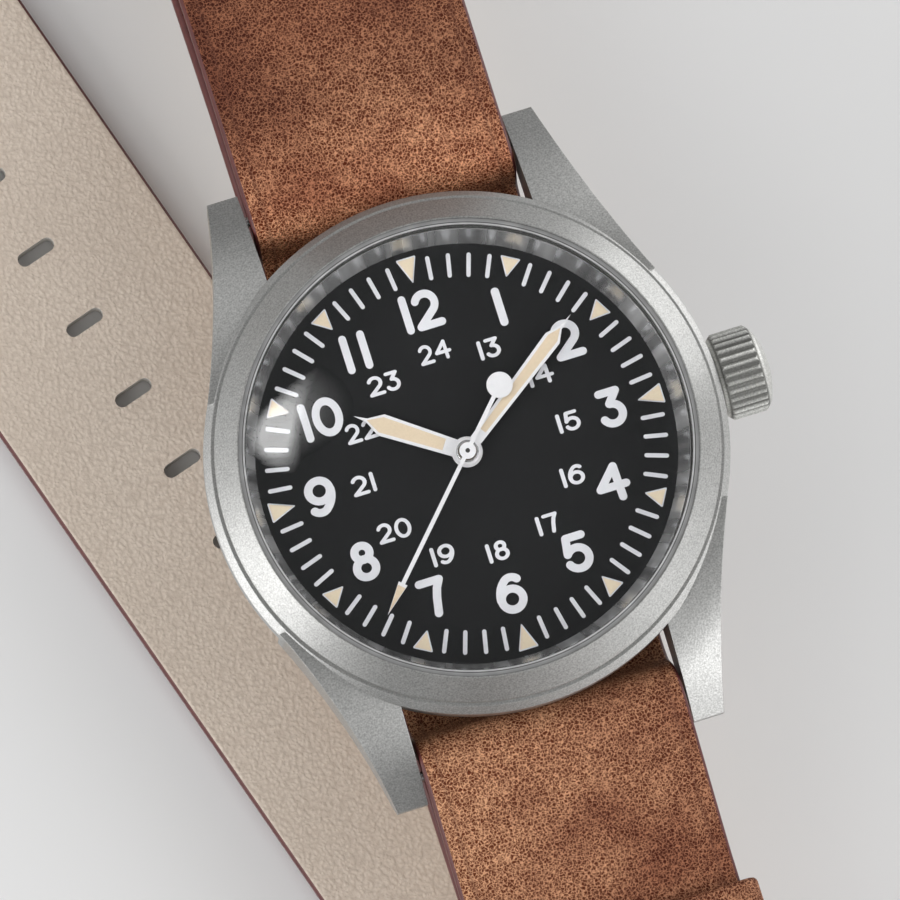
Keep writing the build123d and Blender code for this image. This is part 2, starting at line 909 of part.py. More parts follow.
with BuildPart() as rehaut_ring:
    revolve(
        turned(
            (dial_opening, dial_top),
            (rehaut_outer_radius, dial_top),
            (rehaut_outer_radius, neck_top_z),
            (rehaut_outer_radius - rehaut_top, neck_top_z),
        ),
        axis=Axis.Z,
    )
rehaut_ring.part.label = "rehaut_ring"

# Dial, with two feet that enter the main plate
dial_foot_points = [polar(dial_foot_place, foot_angle) for foot_angle in (90 + third_angle, third_angle - 90)]
with BuildPart() as dial:
    with BuildSketch(Plane.XY.offset(dial_z)):
        Circle(case_bore - dial_inset)
        Circle(dial_hole, mode=Mode.SUBTRACT)
    extrude(amount=dial_thickness)
    with BuildSketch(Plane.XY.offset(dial_z)):
        with Locations(*dial_foot_points):
            Circle(dial_foot_radius)
    extrude(amount=-dial_foot_length)
dial.part.label = "dial"


def hand_outline(root, width, shoulder_share, needle_share, tip_share):
    """Outline of a hand along +Y: it widens to a shoulder and ends in a needle."""
    shoulder = shoulder_share * dial_opening
    needle = needle_share * dial_opening
    with BuildSketch() as outline:
        with BuildLine():
            Polyline(
                (-root / 2, 0),
                (-width / 2, shoulder),
                (-needle_width / 2, needle),
                (0, tip_share * dial_opening),
                (needle_width / 2, needle),
                (width / 2, shoulder),
                (root / 2, 0),
                close=True,
            )
        make_face()
    return outline.sketch


def lume_outline(root, width, shoulder_share, needle_share, start):
    """The luminous filling: the hand's outline less its rails, from start to its needle."""
    shoulder = shoulder_share * dial_opening
    start_width = root + (width - root) * start / shoulder
    with BuildSketch() as outline:
        with BuildLine():
            Polyline(
                (-start_width / 2 + hand_rail, start),
                (-width / 2 + hand_rail, shoulder),
                (0, needle_share * dial_opening),
                (width / 2 - hand_rail, shoulder),
                (start_width / 2 - hand_rail, start),
                close=True,
            )
        make_face()
    return outline.sketch


# Hour hand, its filling and the hour wheel with its pipe
hour_plane = hand_plane(hour_angle, hour_z)
hour_shape = (hour_root_width, hour_width, hour_shoulder_share, hour_needle_share)
with BuildPart() as hour_hand:
    with BuildSketch(hour_plane):
        add(hand_outline(*hour_shape, hour_tip_share))
        Circle(hour_boss)
        add(lume_outline(*hour_shape, hour_lume_start), mode=Mode.SUBTRACT)
        Circle(hour_pipe_radius, mode=Mode.SUBTRACT)
    extrude(amount=hand_thickness)
hour_hand.part.label = "hour_hand"

with BuildPart() as hour_lume:
    with BuildSketch(hour_plane):
        add(lume_outline(*hour_shape, hour_lume_start))
    extrude(amount=hand_thickness)
hour_lume.part.label = "hour_lume"

# Minute hand and its filling
minute_plane = hand_plane(minute_angle, minute_z)
minute_shape = (minute_root_width, minute_width, minute_shoulder_share, minute_needle_share)
with BuildPart() as minute_hand:
    with BuildSketch(minute_plane):
        add(hand_outline(*minute_shape, minute_tip_share))
        Circle(minute_boss)
        add(lume_outline(*minute_shape, minute_lume_start), mode=Mode.SUBTRACT)
        Circle(cannon_outer, mode=Mode.SUBTRACT)
    extrude(amount=hand_thickness)
minute_hand.part.label = "minute_hand"

with BuildPart() as minute_lume:
    with BuildSketch(minute_plane):
        add(lume_outline(*minute_shape, minute_lume_start))
    extrude(amount=hand_thickness)
minute_lume.part.label = "minute_lume"

# Seconds hand, with an arrow and a round counterweight
seconds_tip = seconds_tip_share * dial_opening
seconds_arrow = seconds_arrow_share * dial_opening
seconds_tail = seconds_tail_share * dial_opening
with BuildPart() as seconds_hand:
    with BuildSketch(hand_plane(seconds_angle, seconds_z)):
        with BuildLine():
            Polyline(
                (-seconds_width / 2, -seconds_tail),
                (-seconds_width / 2, seconds_arrow),
                (-seconds_arrow_width / 2, seconds_arrow),
                (0, seconds_tip),
                (seconds_arrow_width / 2, seconds_arrow),
                (seconds_width / 2, seconds_arrow),
                (seconds_width / 2, -seconds_tail),
                close=True,
            )
        make_face()
        with Locations((0, -seconds_tail)):
            Circle(seconds_disc)
        Circle(seconds_boss)
        Circle(arbor_radius, mode=Mode.SUBTRACT)
    extrude(amount=seconds_thickness)
seconds_hand.part.label = "seconds_hand"

# Places of the axes in the movement
centre_pinion_radius = barrel_radius * centre_pinion_leaves / barrel_teeth
third_pinion_radius = centre_radius * third_leaves / centre_teeth
third_distance = centre_radius + third_pinion_radius
third_radius = third_distance * third_teeth / (third_teeth + fourth_leaves)
fourth_pinion_radius = third_distance - third_radius
escape_pinion_radius = fourth_radius * escape_leaves / fourth_teeth
winding_radius = crown_wheel_radius * winding_teeth / crown_wheel_teeth
ratchet_radius = crown_wheel_radius * ratchet_teeth / crown_wheel_teeth
third_at = polar(third_distance, third_angle)
escape_at = polar(fourth_radius + escape_pinion_radius, escape_angle)
pallet_at = polar(pallet_distance, line_angle, escape_at)
balance_at = polar(balance_distance, line_angle, escape_at)
crown_wheel_at = (winding_x - crown_wheel_radius, 0)
barrel_distance = barrel_radius + centre_pinion_radius
ratchet_distance = ratchet_radius + crown_wheel_radius
barrel_x = (barrel_distance**2 - ratchet_distance**2 + crown_wheel_at[0] ** 2) / (2 * crown_wheel_at[0])
barrel_at = (barrel_x, sqrt(barrel_distance**2 - barrel_x**2))
pillar_circle = movement_radius - rim_inset
bridge_pillars = [polar(pillar_circle, angle) for angle in bridge_pillar_angles]
train_pillars = [polar(pillar_circle, angle) for angle in train_pillar_angles]
cock_pillar = polar(pillar_circle, cock_pillar_angle)
jewel_points = [(0, 0), third_at, escape_at]

# Angles of the first teeth, so that each pair is in mesh
barrel_line = Vector(*barrel_at).get_angle(Vector(1, 0))
crown_to_barrel = Vector(barrel_at[0] - crown_wheel_at[0], barrel_at[1]).get_angle(Vector(1, 0))
third_pinion_turn = mesh_turn(0, centre_teeth, third_leaves, third_angle)
centre_pinion_turn = 0
barrel_turn = mesh_turn(centre_pinion_turn, centre_pinion_leaves, barrel_teeth, barrel_line)
third_turn = 0
fourth_pinion_turn = mesh_turn(third_turn, third_teeth, fourth_leaves, third_angle + 180)
fourth_turn = 0
escape_pinion_turn = mesh_turn(fourth_turn, fourth_teeth, escape_leaves, escape_angle)
ratchet_turn = mesh_turn(0, crown_wheel_teeth, ratchet_teeth, crown_to_barrel)
minute_wheel_turn = mesh_turn(0, cannon_leaves, minute_wheel_teeth, motion_angle)
minute_pinion_turn = 0
hour_wheel_turn = mesh_turn(minute_pinion_turn, minute_pinion_leaves, hour_wheel_teeth, motion_angle + 180)
winding_turn = 180 / winding_teeth - 90


def gear(teeth, radius, turn):
    """Toothed face of a wheel or pinion of the train, on its pitch radius."""
    return toothed(teeth, radius + addendum, radius - dedendum, turn)


def wheel(teeth, radius, turn):
    """A crossed wheel of the train."""
    with BuildSketch() as face:
        add(gear(teeth, radius, turn))
        add(
            crossings(wheel_hub, radius - dedendum - wheel_rim, wheel_spoke, wheel_spokes),
            mode=Mode.SUBTRACT,
        )
    return face.sketch


# Winding work: stem, winding pinion, crown wheel, ratchet wheel and its click
def on_stem(x):
    """Plane across the stem, with +X of the plane along the watch's +Y."""
    return Plane((x, 0, stem_z), x_dir=(0, 1, 0), z_dir=(1, 0, 0))


crown_end = crown_start + crown_length
with BuildPart() as crown:
    with BuildSketch(on_stem(crown_start)):
        add(toothed(crown_flutes, crown_radius, crown_radius - crown_flute_depth, root_share=1 / 3))
    extrude(amount=crown_length)
    with BuildSketch(Plane.XZ):
        with BuildLine():
            Polyline(
                (crown_end, stem_z),
                (crown_start, stem_z),
                (crown_start, stem_z + crown_radius - crown_edge),
                (crown_start + crown_edge, stem_z + crown_radius),
                (crown_end - crown_dome - crown_edge, stem_z + crown_radius),
                (crown_end - crown_dome, stem_z + crown_radius - crown_edge),
            )
            TangentArc(
                (crown_end, stem_z),
                (crown_end - crown_dome, stem_z + crown_radius - crown_edge),
                tangent=(0, 1),
            )
        make_face()
    revolve(axis=stem_axis, mode=Mode.INTERSECT)
    with BuildSketch(on_stem(crown_start)):
        Circle(crown_cavity_radius)
    extrude(amount=crown_cavity_depth, mode=Mode.SUBTRACT)
    with BuildSketch(on_stem(crown_start)):
        Circle(stem_radius)
    extrude(amount=stem_into_crown, mode=Mode.SUBTRACT)
crown.part.label = "crown"

with BuildPart() as winding_stem:
    with BuildSketch(on_stem(stem_inner_end)):
        Circle(stem_radius)
    extrude(amount=crown_start + stem_into_crown - stem_inner_end)
winding_stem.part.label = "winding_stem"

with BuildPart() as crown_gasket:
    with BuildSketch(on_stem(crown_start + crown_cavity_depth - crown_gasket_setback)):
        Circle(crown_cavity_radius)
        Circle(tube_radius + running_gap, mode=Mode.SUBTRACT)
    extrude(amount=crown_gasket_length)
crown_gasket.part.label = "crown_gasket"

with BuildPart() as crown_tube:
    with BuildSketch(on_stem(case_bore)):
        Circle(tube_radius)
        Circle(stem_radius + running_gap, mode=Mode.SUBTRACT)
    extrude(amount=crown_start + tube_reach - case_bore)
crown_tube.part.label = "crown_tube"

winding_start = crown_wheel_at[0] + crown_wheel_radius - winding_dedendum + running_gap
with BuildPart() as winding_pinion:
    with BuildSketch(on_stem(winding_start)):
        add(
            toothed(
                winding_teeth,
                winding_radius + winding_addendum,
                winding_radius - winding_dedendum,
                winding_turn,
            )
        )
        Circle(stem_radius + running_gap, mode=Mode.SUBTRACT)
    extrude(amount=winding_length)
winding_pinion.part.label = "winding_pinion"

with BuildPart() as crown_wheel:
    with BuildSketch(level(winding_wheel_height, crown_wheel_at)):
        add(toothed(crown_wheel_teeth, crown_wheel_radius + winding_addendum, crown_wheel_radius - winding_dedendum))
        Circle(crown_wheel_boss + running_gap, mode=Mode.SUBTRACT)
    extrude(amount=winding_wheel_thickness)
crown_wheel.part.label = "crown_wheel"

ratchet_tip = ratchet_radius + winding_addendum
with BuildPart() as ratchet_wheel:
    with BuildSketch(level(winding_wheel_height, barrel_at)):
        add(toothed(ratchet_teeth, ratchet_tip, ratchet_radius - winding_dedendum, ratchet_turn))
        Circle(barrel_pivot_radius, mode=Mode.SUBTRACT)
    extrude(amount=winding_wheel_thickness)
ratchet_wheel.part.label = "ratchet_wheel"

click_at = polar(ratchet_tip + click_radius + running_gap, click_angle, barrel_at)
with BuildPart() as click:
    with BuildSketch(level(winding_wheel_height)):
        with Locations(click_at):
            Circle(click_radius)
        with BuildLine():
            Polyline(
                polar(click_radius, click_angle - 90, click_at),
                polar(ratchet_tip + running_gap, click_angle - click_span, barrel_at),
                polar(click_radius, click_angle, click_at),
                close=True,
            )
        make_face()
        with Locations(click_at):
            Circle(screw_radius + running_gap, mode=Mode.SUBTRACT)
    extrude(amount=winding_wheel_thickness)
click.part.label = "click"

# Going barrel with its mainspring and arbor
barrel_low = movement_z + barrel_height
barrel_high = barrel_low + barrel_thickness
with BuildPart() as barrel:
    with BuildSketch(level(barrel_height + barrel_flange_height, barrel_at)):
        add(gear(barrel_teeth, barrel_radius, barrel_turn))
    extrude(amount=barrel_flange)
    with BuildSketch(level(barrel_height, barrel_at)):
        Circle(barrel_drum_radius)
    extrude(amount=barrel_thickness)
    with BuildSketch(level(barrel_height + barrel_lid, barrel_at)):
        Circle(barrel_drum_radius - barrel_wall)
    extrude(amount=barrel_thickness - 2 * barrel_lid, mode=Mode.SUBTRACT)
    with BuildSketch(level(barrel_height, barrel_at)):
        Circle(barrel_pivot_radius + running_gap)
    extrude(amount=barrel_thickness, mode=Mode.SUBTRACT)
barrel.part.label = "barrel"

with BuildPart() as mainspring:
    with BuildSketch(level(barrel_height + barrel_lid + running_gap, barrel_at)):
        add(spiral(mainspring_start, mainspring_pitch, mainspring_turns, mainspring_thickness))
    extrude(amount=barrel_thickness - 2 * (barrel_lid + running_gap))
mainspring.part.label = "mainspring"

arbor_top = barrel_height + barrel_thickness + barrel_end_gap + jewel_thickness / 2
with BuildPart() as barrel_arbor:
    with BuildSketch(level(winding_wheel_height, barrel_at)):
        Circle(barrel_pivot_radius)
    extrude(amount=arbor_top - winding_wheel_height)
    with BuildSketch(level(barrel_height + barrel_lid + running_gap, barrel_at)):
        Circle(barrel_core_radius)
    extrude(amount=barrel_thickness - 2 * (barrel_lid + running_gap))
barrel_arbor.part.label = "barrel_arbor"

# Going train
centre_top = minute_z + hand_thickness - movement_z
with BuildPart() as centre_wheel:
    with BuildSketch(level(centre_wheel_height)):
        add(wheel(centre_teeth, centre_radius, 0))
    extrude(amount=wheel_thickness)
    with BuildSketch(level(centre_pinion_height)):
        add(gear(centre_pinion_leaves, centre_pinion_radius, centre_pinion_turn))
    extrude(amount=centre_pinion_length)
    with BuildSketch(level(centre_tube_start)):
        Circle(centre_tube_radius)
    extrude(amount=centre_top - centre_tube_start)
    with BuildSketch(level(centre_tube_start)):
        Circle(centre_tube_bore)
    extrude(amount=centre_top - centre_tube_start, mode=Mode.SUBTRACT)
centre_wheel.part.label = "centre_wheel"

with BuildPart() as third_wheel:
    with BuildSketch(level(third_wheel_height, third_at)):
        add(wheel(third_teeth, third_radius, third_turn))
    extrude(amount=wheel_thickness)
    with BuildSketch(level(third_pinion_height, third_at)):
        add(gear(third_leaves, third_pinion_radius, third_pinion_turn))
    extrude(amount=third_pinion_length)
    with BuildSketch(level(arbor_start, third_at)):
        Circle(arbor_radius)
    extrude(amount=plate_height + pivot_depth - arbor_start)
third_wheel.part.label = "third_wheel"

with BuildPart() as fourth_wheel:
    with BuildSketch(level(fourth_wheel_height)):
        add(wheel(fourth_teeth, fourth_radius, fourth_turn))
    extrude(amount=wheel_thickness)
    with BuildSketch(level(fourth_pinion_height)):
        add(gear(fourth_leaves, fourth_pinion_radius, fourth_pinion_turn))
    extrude(amount=fourth_pinion_length)
    with BuildSketch(level(arbor_start)):
        Circle(arbor_radius)
    extrude(amount=seconds_z + seconds_thickness - movement_z - arbor_start)
fourth_wheel.part.label = "fourth_wheel"

with BuildPart() as escape_wheel:
    with BuildSketch(level(escape_wheel_height, escape_at)):
        add(toothed(escape_teeth, escape_radius, escape_radius - escape_tooth))
        add(
            crossings(wheel_hub / 2, escape_radius - escape_tooth - wheel_rim, wheel_spoke / 2, wheel_spokes),
            mode=Mode.SUBTRACT,
        )
    extrude(amount=wheel_thickness)
    with BuildSketch(level(escape_pinion_height, escape_at)):
        add(gear(escape_leaves, escape_pinion_radius, escape_pinion_turn))
    extrude(amount=escape_pinion_length)
    with BuildSketch(level(arbor_start, escape_at)):
        Circle(arbor_radius)
    extrude(amount=plate_height + pivot_depth - arbor_start)
escape_wheel.part.label = "escape_wheel"

# Escapement: the pallets embrace the escape wheel, the fork points to the balance
pallet_points = [
    polar(escape_radius + pallet_reach, line_angle + side * pallet_arm_angle, escape_at) for side in (1, -1)
]
with BuildPart() as pallet_fork:
    with BuildSketch(level(pallet_height)):
        with BuildLine():
            Polyline(pallet_points[0], pallet_at, pallet_points[1])
        trace(line_width=pallet_width)
        with BuildLine():
            Line(pallet_at, polar(fork_length, line_angle, pallet_at))
        trace(line_width=pallet_width)
        with Locations(pallet_at):
            Circle(pallet_width)
    extrude(amount=pallet_thickness)
    with BuildSketch(level(pallet_height, pallet_at)):
        Circle(arbor_radius)
    extrude(amount=plate_height + pivot_depth - pallet_height)
pallet_fork.part.label = "pallet_fork"

with BuildPart() as balance_wheel:
    with BuildSketch(level(balance_height, balance_at)):
        Circle(balance_radius)
        Circle(balance_radius - balance_rim, mode=Mode.SUBTRACT)
        Rectangle(2 * (balance_radius - balance_rim / 2), balance_bar)
        Circle(balance_hub)
    extrude(amount=balance_thickness)
    with BuildSketch(level(roller_height, balance_at)):
        Circle(roller_radius)
    extrude(amount=roller_thickness)
    with BuildSketch(level(arbor_start, balance_at)):
        Circle(arbor_radius)
    extrude(amount=plate_height + pivot_depth - arbor_start)
balance_wheel.part.label = "balance_wheel"

with BuildPart() as hairspring:
    with BuildSketch(level(hairspring_height, balance_at)):
        add(spiral(hairspring_start, hairspring_pitch, hairspring_turns, hairspring_thickness))
    extrude(amount=hairspring_breadth)
hairspring.part.label = "hairspring"

# Motion work under the dial
minute_wheel_at = polar(motion_distance, motion_angle)
cannon_radius = motion_distance * cannon_leaves / (cannon_leaves + minute_wheel_teeth)
minute_wheel_radius = motion_distance - cannon_radius
minute_pinion_radius = motion_distance * minute_pinion_leaves / (minute_pinion_leaves + hour_wheel_teeth)
hour_wheel_radius = motion_distance - minute_pinion_radius
motion_start = motion_floor + barrel_end_gap
with BuildPart() as cannon_pinion:
    with BuildSketch(level(motion_start)):
        add(gear(cannon_leaves, cannon_radius, 0))
    extrude(amount=cannon_teeth_length)
    with BuildSketch(level(motion_start)):
        Circle(cannon_outer)
    extrude(amount=centre_top - motion_start)
    with BuildSketch(level(motion_start)):
        Circle(centre_tube_radius + running_gap)
    extrude(amount=centre_top - motion_start, mode=Mode.SUBTRACT)
cannon_pinion.part.label = "cannon_pinion"

with BuildPart() as minute_wheel:
    with BuildSketch(level(motion_start, minute_wheel_at)):
        add(gear(minute_wheel_teeth, minute_wheel_radius, minute_wheel_turn))
    extrude(amount=minute_wheel_thickness)
    with BuildSketch(level(motion_start, minute_wheel_at)):
        add(gear(minute_pinion_leaves, minute_pinion_radius, minute_pinion_turn))
    extrude(amount=minute_wheel_thickness + minute_pinion_length)
    with BuildSketch(level(motion_start, minute_wheel_at)):
        Circle(motion_post_radius + running_gap)
    extrude(amount=minute_wheel_thickness + minute_pinion_length, mode=Mode.SUBTRACT)
minute_wheel.part.label = "minute_wheel"

hour_top = hour_z + hand_thickness - movement_z
with BuildPart() as hour_wheel:
    with BuildSketch(level(hour_wheel_height)):
        add(gear(hour_wheel_teeth, hour_wheel_radius, hour_wheel_turn))
    extrude(amount=hour_wheel_thickness)
    with BuildSketch(level(hour_wheel_height)):
        Circle(hour_pipe_radius)
    extrude(amount=hour_top - hour_wheel_height)
    with BuildSketch(level(hour_wheel_height)):
        Circle(cannon_outer + running_gap)
    extrude(amount=hour_top - hour_wheel_height, mode=Mode.SUBTRACT)
hour_wheel.part.label = "hour_wheel"

# Main plate, bridges, cock, jewels and screws
pivot_points = [third_at, escape_at, pallet_at, balance_at]
screw_points = [*bridge_pillars, *train_pillars, cock_pillar]
with BuildPart() as mainplate:
    with BuildSketch(level(plate_height)):
        Circle(movement_radius)
    extrude(amount=movement_height - plate_height)
    with BuildSketch(level(plate_height)):
        Circle(centre_tube_radius + running_gap)
        with Locations(barrel_at):
            Circle(barrel_pivot_radius + running_gap)
    extrude(amount=movement_height - plate_height, mode=Mode.SUBTRACT)
    with BuildSketch(level(motion_floor)):
        Circle(hour_wheel_radius + addendum + motion_recess_gap)
        with Locations(minute_wheel_at):
            Circle(minute_wheel_radius + addendum + motion_recess_gap)
    extrude(amount=movement_height - motion_floor, mode=Mode.SUBTRACT)
    with BuildSketch(level(plate_height, barrel_at)):
        Circle(barrel_drum_radius + barrel_recess_gap)
    extrude(amount=barrel_height + barrel_thickness + barrel_end_gap - plate_height, mode=Mode.SUBTRACT)
    with BuildSketch(level(plate_height)):
        with Locations(*pivot_points):
            Circle(arbor_radius + running_gap)
    extrude(amount=pivot_depth + running_gap, mode=Mode.SUBTRACT)
    with BuildSketch(level(plate_height)):
        with Locations(*screw_points):
            Circle(screw_radius)
    extrude(amount=screw_depth, mode=Mode.SUBTRACT)
    with BuildSketch(level(movement_height)):
        with Locations(*dial_foot_points):
            Circle(dial_foot_radius + running_gap)
    extrude(amount=-dial_foot_length - running_gap, mode=Mode.SUBTRACT)
    with BuildSketch(on_stem(stem_inner_end - running_gap)):
        Circle(stem_radius + running_gap)
    extrude(amount=movement_radius - stem_inner_end + overrun, mode=Mode.SUBTRACT)
    with BuildSketch(level(plate_height)):
        with Locations((winding_start + winding_length / 2, 0)):
            Rectangle(
                winding_length + 2 * winding_pocket,
                2 * (winding_radius + winding_addendum + winding_pocket),
            )
    extrude(amount=movement_height - plate_height, mode=Mode.SUBTRACT)
    with BuildSketch(level(motion_floor, minute_wheel_at)):
        Circle(motion_post_radius)
    extrude(amount=motion_start - motion_floor + minute_wheel_thickness + minute_pinion_length + motion_post_overhang)
mainplate.part.label = "mainplate"

with BuildPart() as movement_ring:
    with BuildSketch(level(movement_height)):
        Circle(rehaut_outer_radius)
        Circle(movement_radius + ring_gap, mode=Mode.SUBTRACT)
    extrude(amount=-ring_height)
    with BuildSketch(on_stem(movement_radius)):
        Circle(ring_stem_hole)
    extrude(amount=case_bore - movement_radius, mode=Mode.SUBTRACT)
movement_ring.part.label = "movement_ring"


def pillar_foot(points, top):
    """Circles of the pillars that carry a bridge, over the holes for their screws."""
    with BuildSketch(level(top)) as feet:
        with Locations(*points):
            Circle(pillar_radius)
    return feet.sketch


with BuildPart() as barrel_bridge:
    with BuildSketch(level(bridge_height)):
        Circle(movement_radius - bridge_edge_gap)
        with Locations(((movement_radius - bridge_west) / 2, (movement_radius - bridge_south) / 2)):
            Rectangle(movement_radius + bridge_west, movement_radius + bridge_south, mode=Mode.INTERSECT)
        with Locations((-bridge_west / 2, 0)):
            Rectangle(bridge_west, 2 * bridge_south, mode=Mode.SUBTRACT)
        Circle(fourth_radius + addendum + bridge_wheel_gap, mode=Mode.SUBTRACT)
        with Locations(third_at):
            Circle(third_radius + addendum + bridge_wheel_gap, mode=Mode.SUBTRACT)
        with Locations(balance_at):
            Circle(balance_radius + bridge_wheel_gap, mode=Mode.SUBTRACT)
    extrude(amount=bridge_thickness)
    extrude(pillar_foot(bridge_pillars, bridge_height), amount=plate_height - bridge_height)
    with BuildSketch(level(bridge_height)):
        with Locations(*bridge_pillars):
            Circle(screw_radius)
    extrude(amount=plate_height - bridge_height, mode=Mode.SUBTRACT)
    with BuildSketch(level(bridge_height)):
        with Locations(barrel_at):
            Circle(barrel_pivot_radius + running_gap)
        with Locations((winding_start + winding_length / 2, 0)):
            Rectangle(winding_length + 2 * winding_pocket, 2 * winding_radius)
    extrude(amount=bridge_thickness, mode=Mode.SUBTRACT)
    with BuildSketch(level(bridge_height, crown_wheel_at)):
        Circle(crown_wheel_boss)
    extrude(amount=winding_wheel_height - bridge_height)
    with BuildSketch(level(bridge_height, click_at)):
        Circle(screw_radius)
    extrude(amount=winding_wheel_height - bridge_height)
barrel_bridge.part.label = "barrel_bridge"

with BuildPart() as train_bridge:
    with BuildSketch(level(train_bridge_height)):
        with BuildLine():
            Polyline(train_pillars[0], third_at, (0, 0), escape_at, train_pillars[1])
        trace(line_width=train_bridge_width)
        with Locations(*jewel_points, *train_pillars):
            Circle(train_bridge_width / 2)
    extrude(amount=train_bridge_thickness)
    extrude(pillar_foot(train_pillars, train_bridge_height), amount=plate_height - train_bridge_height)
    with BuildSketch(level(train_bridge_height)):
        with Locations(*train_pillars):
            Circle(screw_radius)
    extrude(amount=plate_height - train_bridge_height, mode=Mode.SUBTRACT)
    with BuildSketch(level(train_bridge_height)):
        with Locations(*jewel_points):
            Circle(jewel_radius)
    extrude(amount=train_bridge_thickness, mode=Mode.SUBTRACT)
train_bridge.part.label = "train_bridge"

with BuildPart() as balance_cock:
    with BuildSketch(level(train_bridge_height)):
        with BuildLine():
            Line(balance_at, cock_pillar)
        trace(line_width=cock_width)
        with Locations(balance_at, cock_pillar):
            Circle(cock_width / 2)
    extrude(amount=cock_thickness)
    extrude(pillar_foot([cock_pillar], train_bridge_height), amount=plate_height - train_bridge_height)
    with BuildSketch(level(train_bridge_height)):
        with Locations(cock_pillar):
            Circle(screw_radius)
    extrude(amount=plate_height - train_bridge_height, mode=Mode.SUBTRACT)
    with BuildSketch(level(train_bridge_height)):
        with Locations(balance_at):
            Circle(jewel_radius)
    extrude(amount=cock_thickness, mode=Mode.SUBTRACT)
balance_cock.part.label = "balance_cock"

with BuildPart() as jewels:
    with BuildSketch(level(train_bridge_height)):
        with Locations(*jewel_points, balance_at):
            Circle(jewel_radius)
            Circle(arbor_radius + running_gap, mode=Mode.SUBTRACT)
    extrude(amount=jewel_thickness)
jewels.part.label = "jewels"

with BuildPart() as movement_screws:
    for height, points in (
        (bridge_height, bridge_pillars),
        (train_bridge_height, [*train_pillars, cock_pillar]),
    ):
        with BuildSketch(level(height)):
            with Locations(*points):
                Circle(screw_radius)
        extrude(amount=plate_height + screw_depth - height)
        with BuildSketch(level(height)):
            with Locations(*points):
                Circle(screw_head_radius)
        extrude(amount=-screw_head)
movement_screws.part.label = "movement_screws"

# Spring bars: a tube between the lugs with a sprung pin at each end
bar_parts = []
pin_start = lug_gap / 2 + pin_reach - pin_length
for end_name, end_side in (("upper", 1), ("lower", -1)):
    with BuildPart() as spring_bar:
        with BuildSketch(Plane.YZ.offset(-bar_tube_length / 2)):
            with Locations((end_side * bar_y, bar_z)):
                Circle(bar_radius)
        extrude(amount=bar_tube_length)
        for tube_end in (-1, 1):
            with BuildSketch(Plane.YZ.offset(tube_end * bar_tube_length / 2)):
                with Locations((end_side * bar_y, bar_z)):
                    Circle(pin_radius + pin_bore_gap)
            extrude(amount=-tube_end * pin_bore_depth, mode=Mode.SUBTRACT)
    spring_bar.part.label = f"spring_bar_{end_name}"
    bar_parts.append(spring_bar)
    for pin_name, pin_side in (("right", 1), ("left", -1)):
        with BuildPart() as spring_pin:
            with BuildSketch(Plane.YZ.offset(pin_side * pin_start)):
                with Locations((end_side * bar_y, bar_z)):
                    Circle(pin_radius)
            extrude(amount=pin_side * pin_length)
        spring_pin.part.label = f"spring_pin_{end_name}_{pin_name}"
        bar_parts.append(spring_pin)

for piece in (
    mid_case,
    case_back,
    case_back_gasket,
    bezel,
    crystal,
    crystal_gasket,
    rehaut_ring,
    dial,
    hour_hand,
    hour_lume,
    hour_wheel,
    minute_hand,
    minute_lume,
    cannon_pinion,
    minute_wheel,
    seconds_hand,
    fourth_wheel,
    third_wheel,
    centre_wheel,
    escape_wheel,
    pallet_fork,
    balance_wheel,
    hairspring,
    barrel,
    mainspring,
    barrel_arbor,
    ratchet_wheel,
    crown_wheel,
    click,
    winding_pinion,
    winding_stem,
    crown,
    crown_gasket,
    crown_tube,
    mainplate,
    movement_ring,
    barrel_bridge,
    train_bridge,
    balance_cock,
    jewels,
    movement_screws,
    strap_main,
    strap_short,
    keeper_lower,
    keeper_fixed,
    keeper_free,
    buckle_bar,
    buckle_frame,
    buckle_tongue,
    *bar_parts,
):
    export_step(piece.part, f"parts/{piece.part.label}.step")
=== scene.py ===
# %% [markdown]
# # A field watch on a pull-through strap
#
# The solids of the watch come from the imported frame: case, crystal, dial plate, hands,
# movement, spring bars and buckle, each already in its place. This lesson dresses them. It gives
# every solid a finish, makes the leather as real folded bands, prints the dial, and sets the
# camera and the soft studio light. Lengths are written in millimetres and multiplied by MM,
# because Blender works in metres.

from math import ceil, cos, degrees, pi, radians, sin, sqrt, tan

import bmesh
import bpy
from mathutils import Matrix, Vector


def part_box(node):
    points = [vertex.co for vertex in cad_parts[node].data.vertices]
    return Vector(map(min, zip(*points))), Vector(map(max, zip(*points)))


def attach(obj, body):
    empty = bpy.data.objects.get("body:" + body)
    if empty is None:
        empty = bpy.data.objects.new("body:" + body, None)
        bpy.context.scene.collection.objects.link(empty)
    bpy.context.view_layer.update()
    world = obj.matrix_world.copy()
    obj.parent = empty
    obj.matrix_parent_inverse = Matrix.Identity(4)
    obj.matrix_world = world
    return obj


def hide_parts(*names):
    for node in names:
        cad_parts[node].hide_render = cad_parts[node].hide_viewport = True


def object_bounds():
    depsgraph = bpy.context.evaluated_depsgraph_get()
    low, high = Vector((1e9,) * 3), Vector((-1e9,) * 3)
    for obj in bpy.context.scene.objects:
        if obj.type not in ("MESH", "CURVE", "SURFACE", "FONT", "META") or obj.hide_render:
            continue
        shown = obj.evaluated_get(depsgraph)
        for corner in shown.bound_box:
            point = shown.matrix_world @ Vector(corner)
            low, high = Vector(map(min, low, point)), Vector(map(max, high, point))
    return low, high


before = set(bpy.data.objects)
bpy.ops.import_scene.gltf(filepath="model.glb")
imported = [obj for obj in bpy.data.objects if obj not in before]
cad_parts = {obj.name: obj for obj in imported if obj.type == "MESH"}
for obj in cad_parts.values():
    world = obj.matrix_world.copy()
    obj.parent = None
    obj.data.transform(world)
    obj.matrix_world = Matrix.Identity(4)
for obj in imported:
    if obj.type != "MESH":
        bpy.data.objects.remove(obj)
cad_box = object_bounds()
MM = 0.001
print("CAD box in mm:", [[round(value / MM, 1) for value in corner] for corner in cad_box])

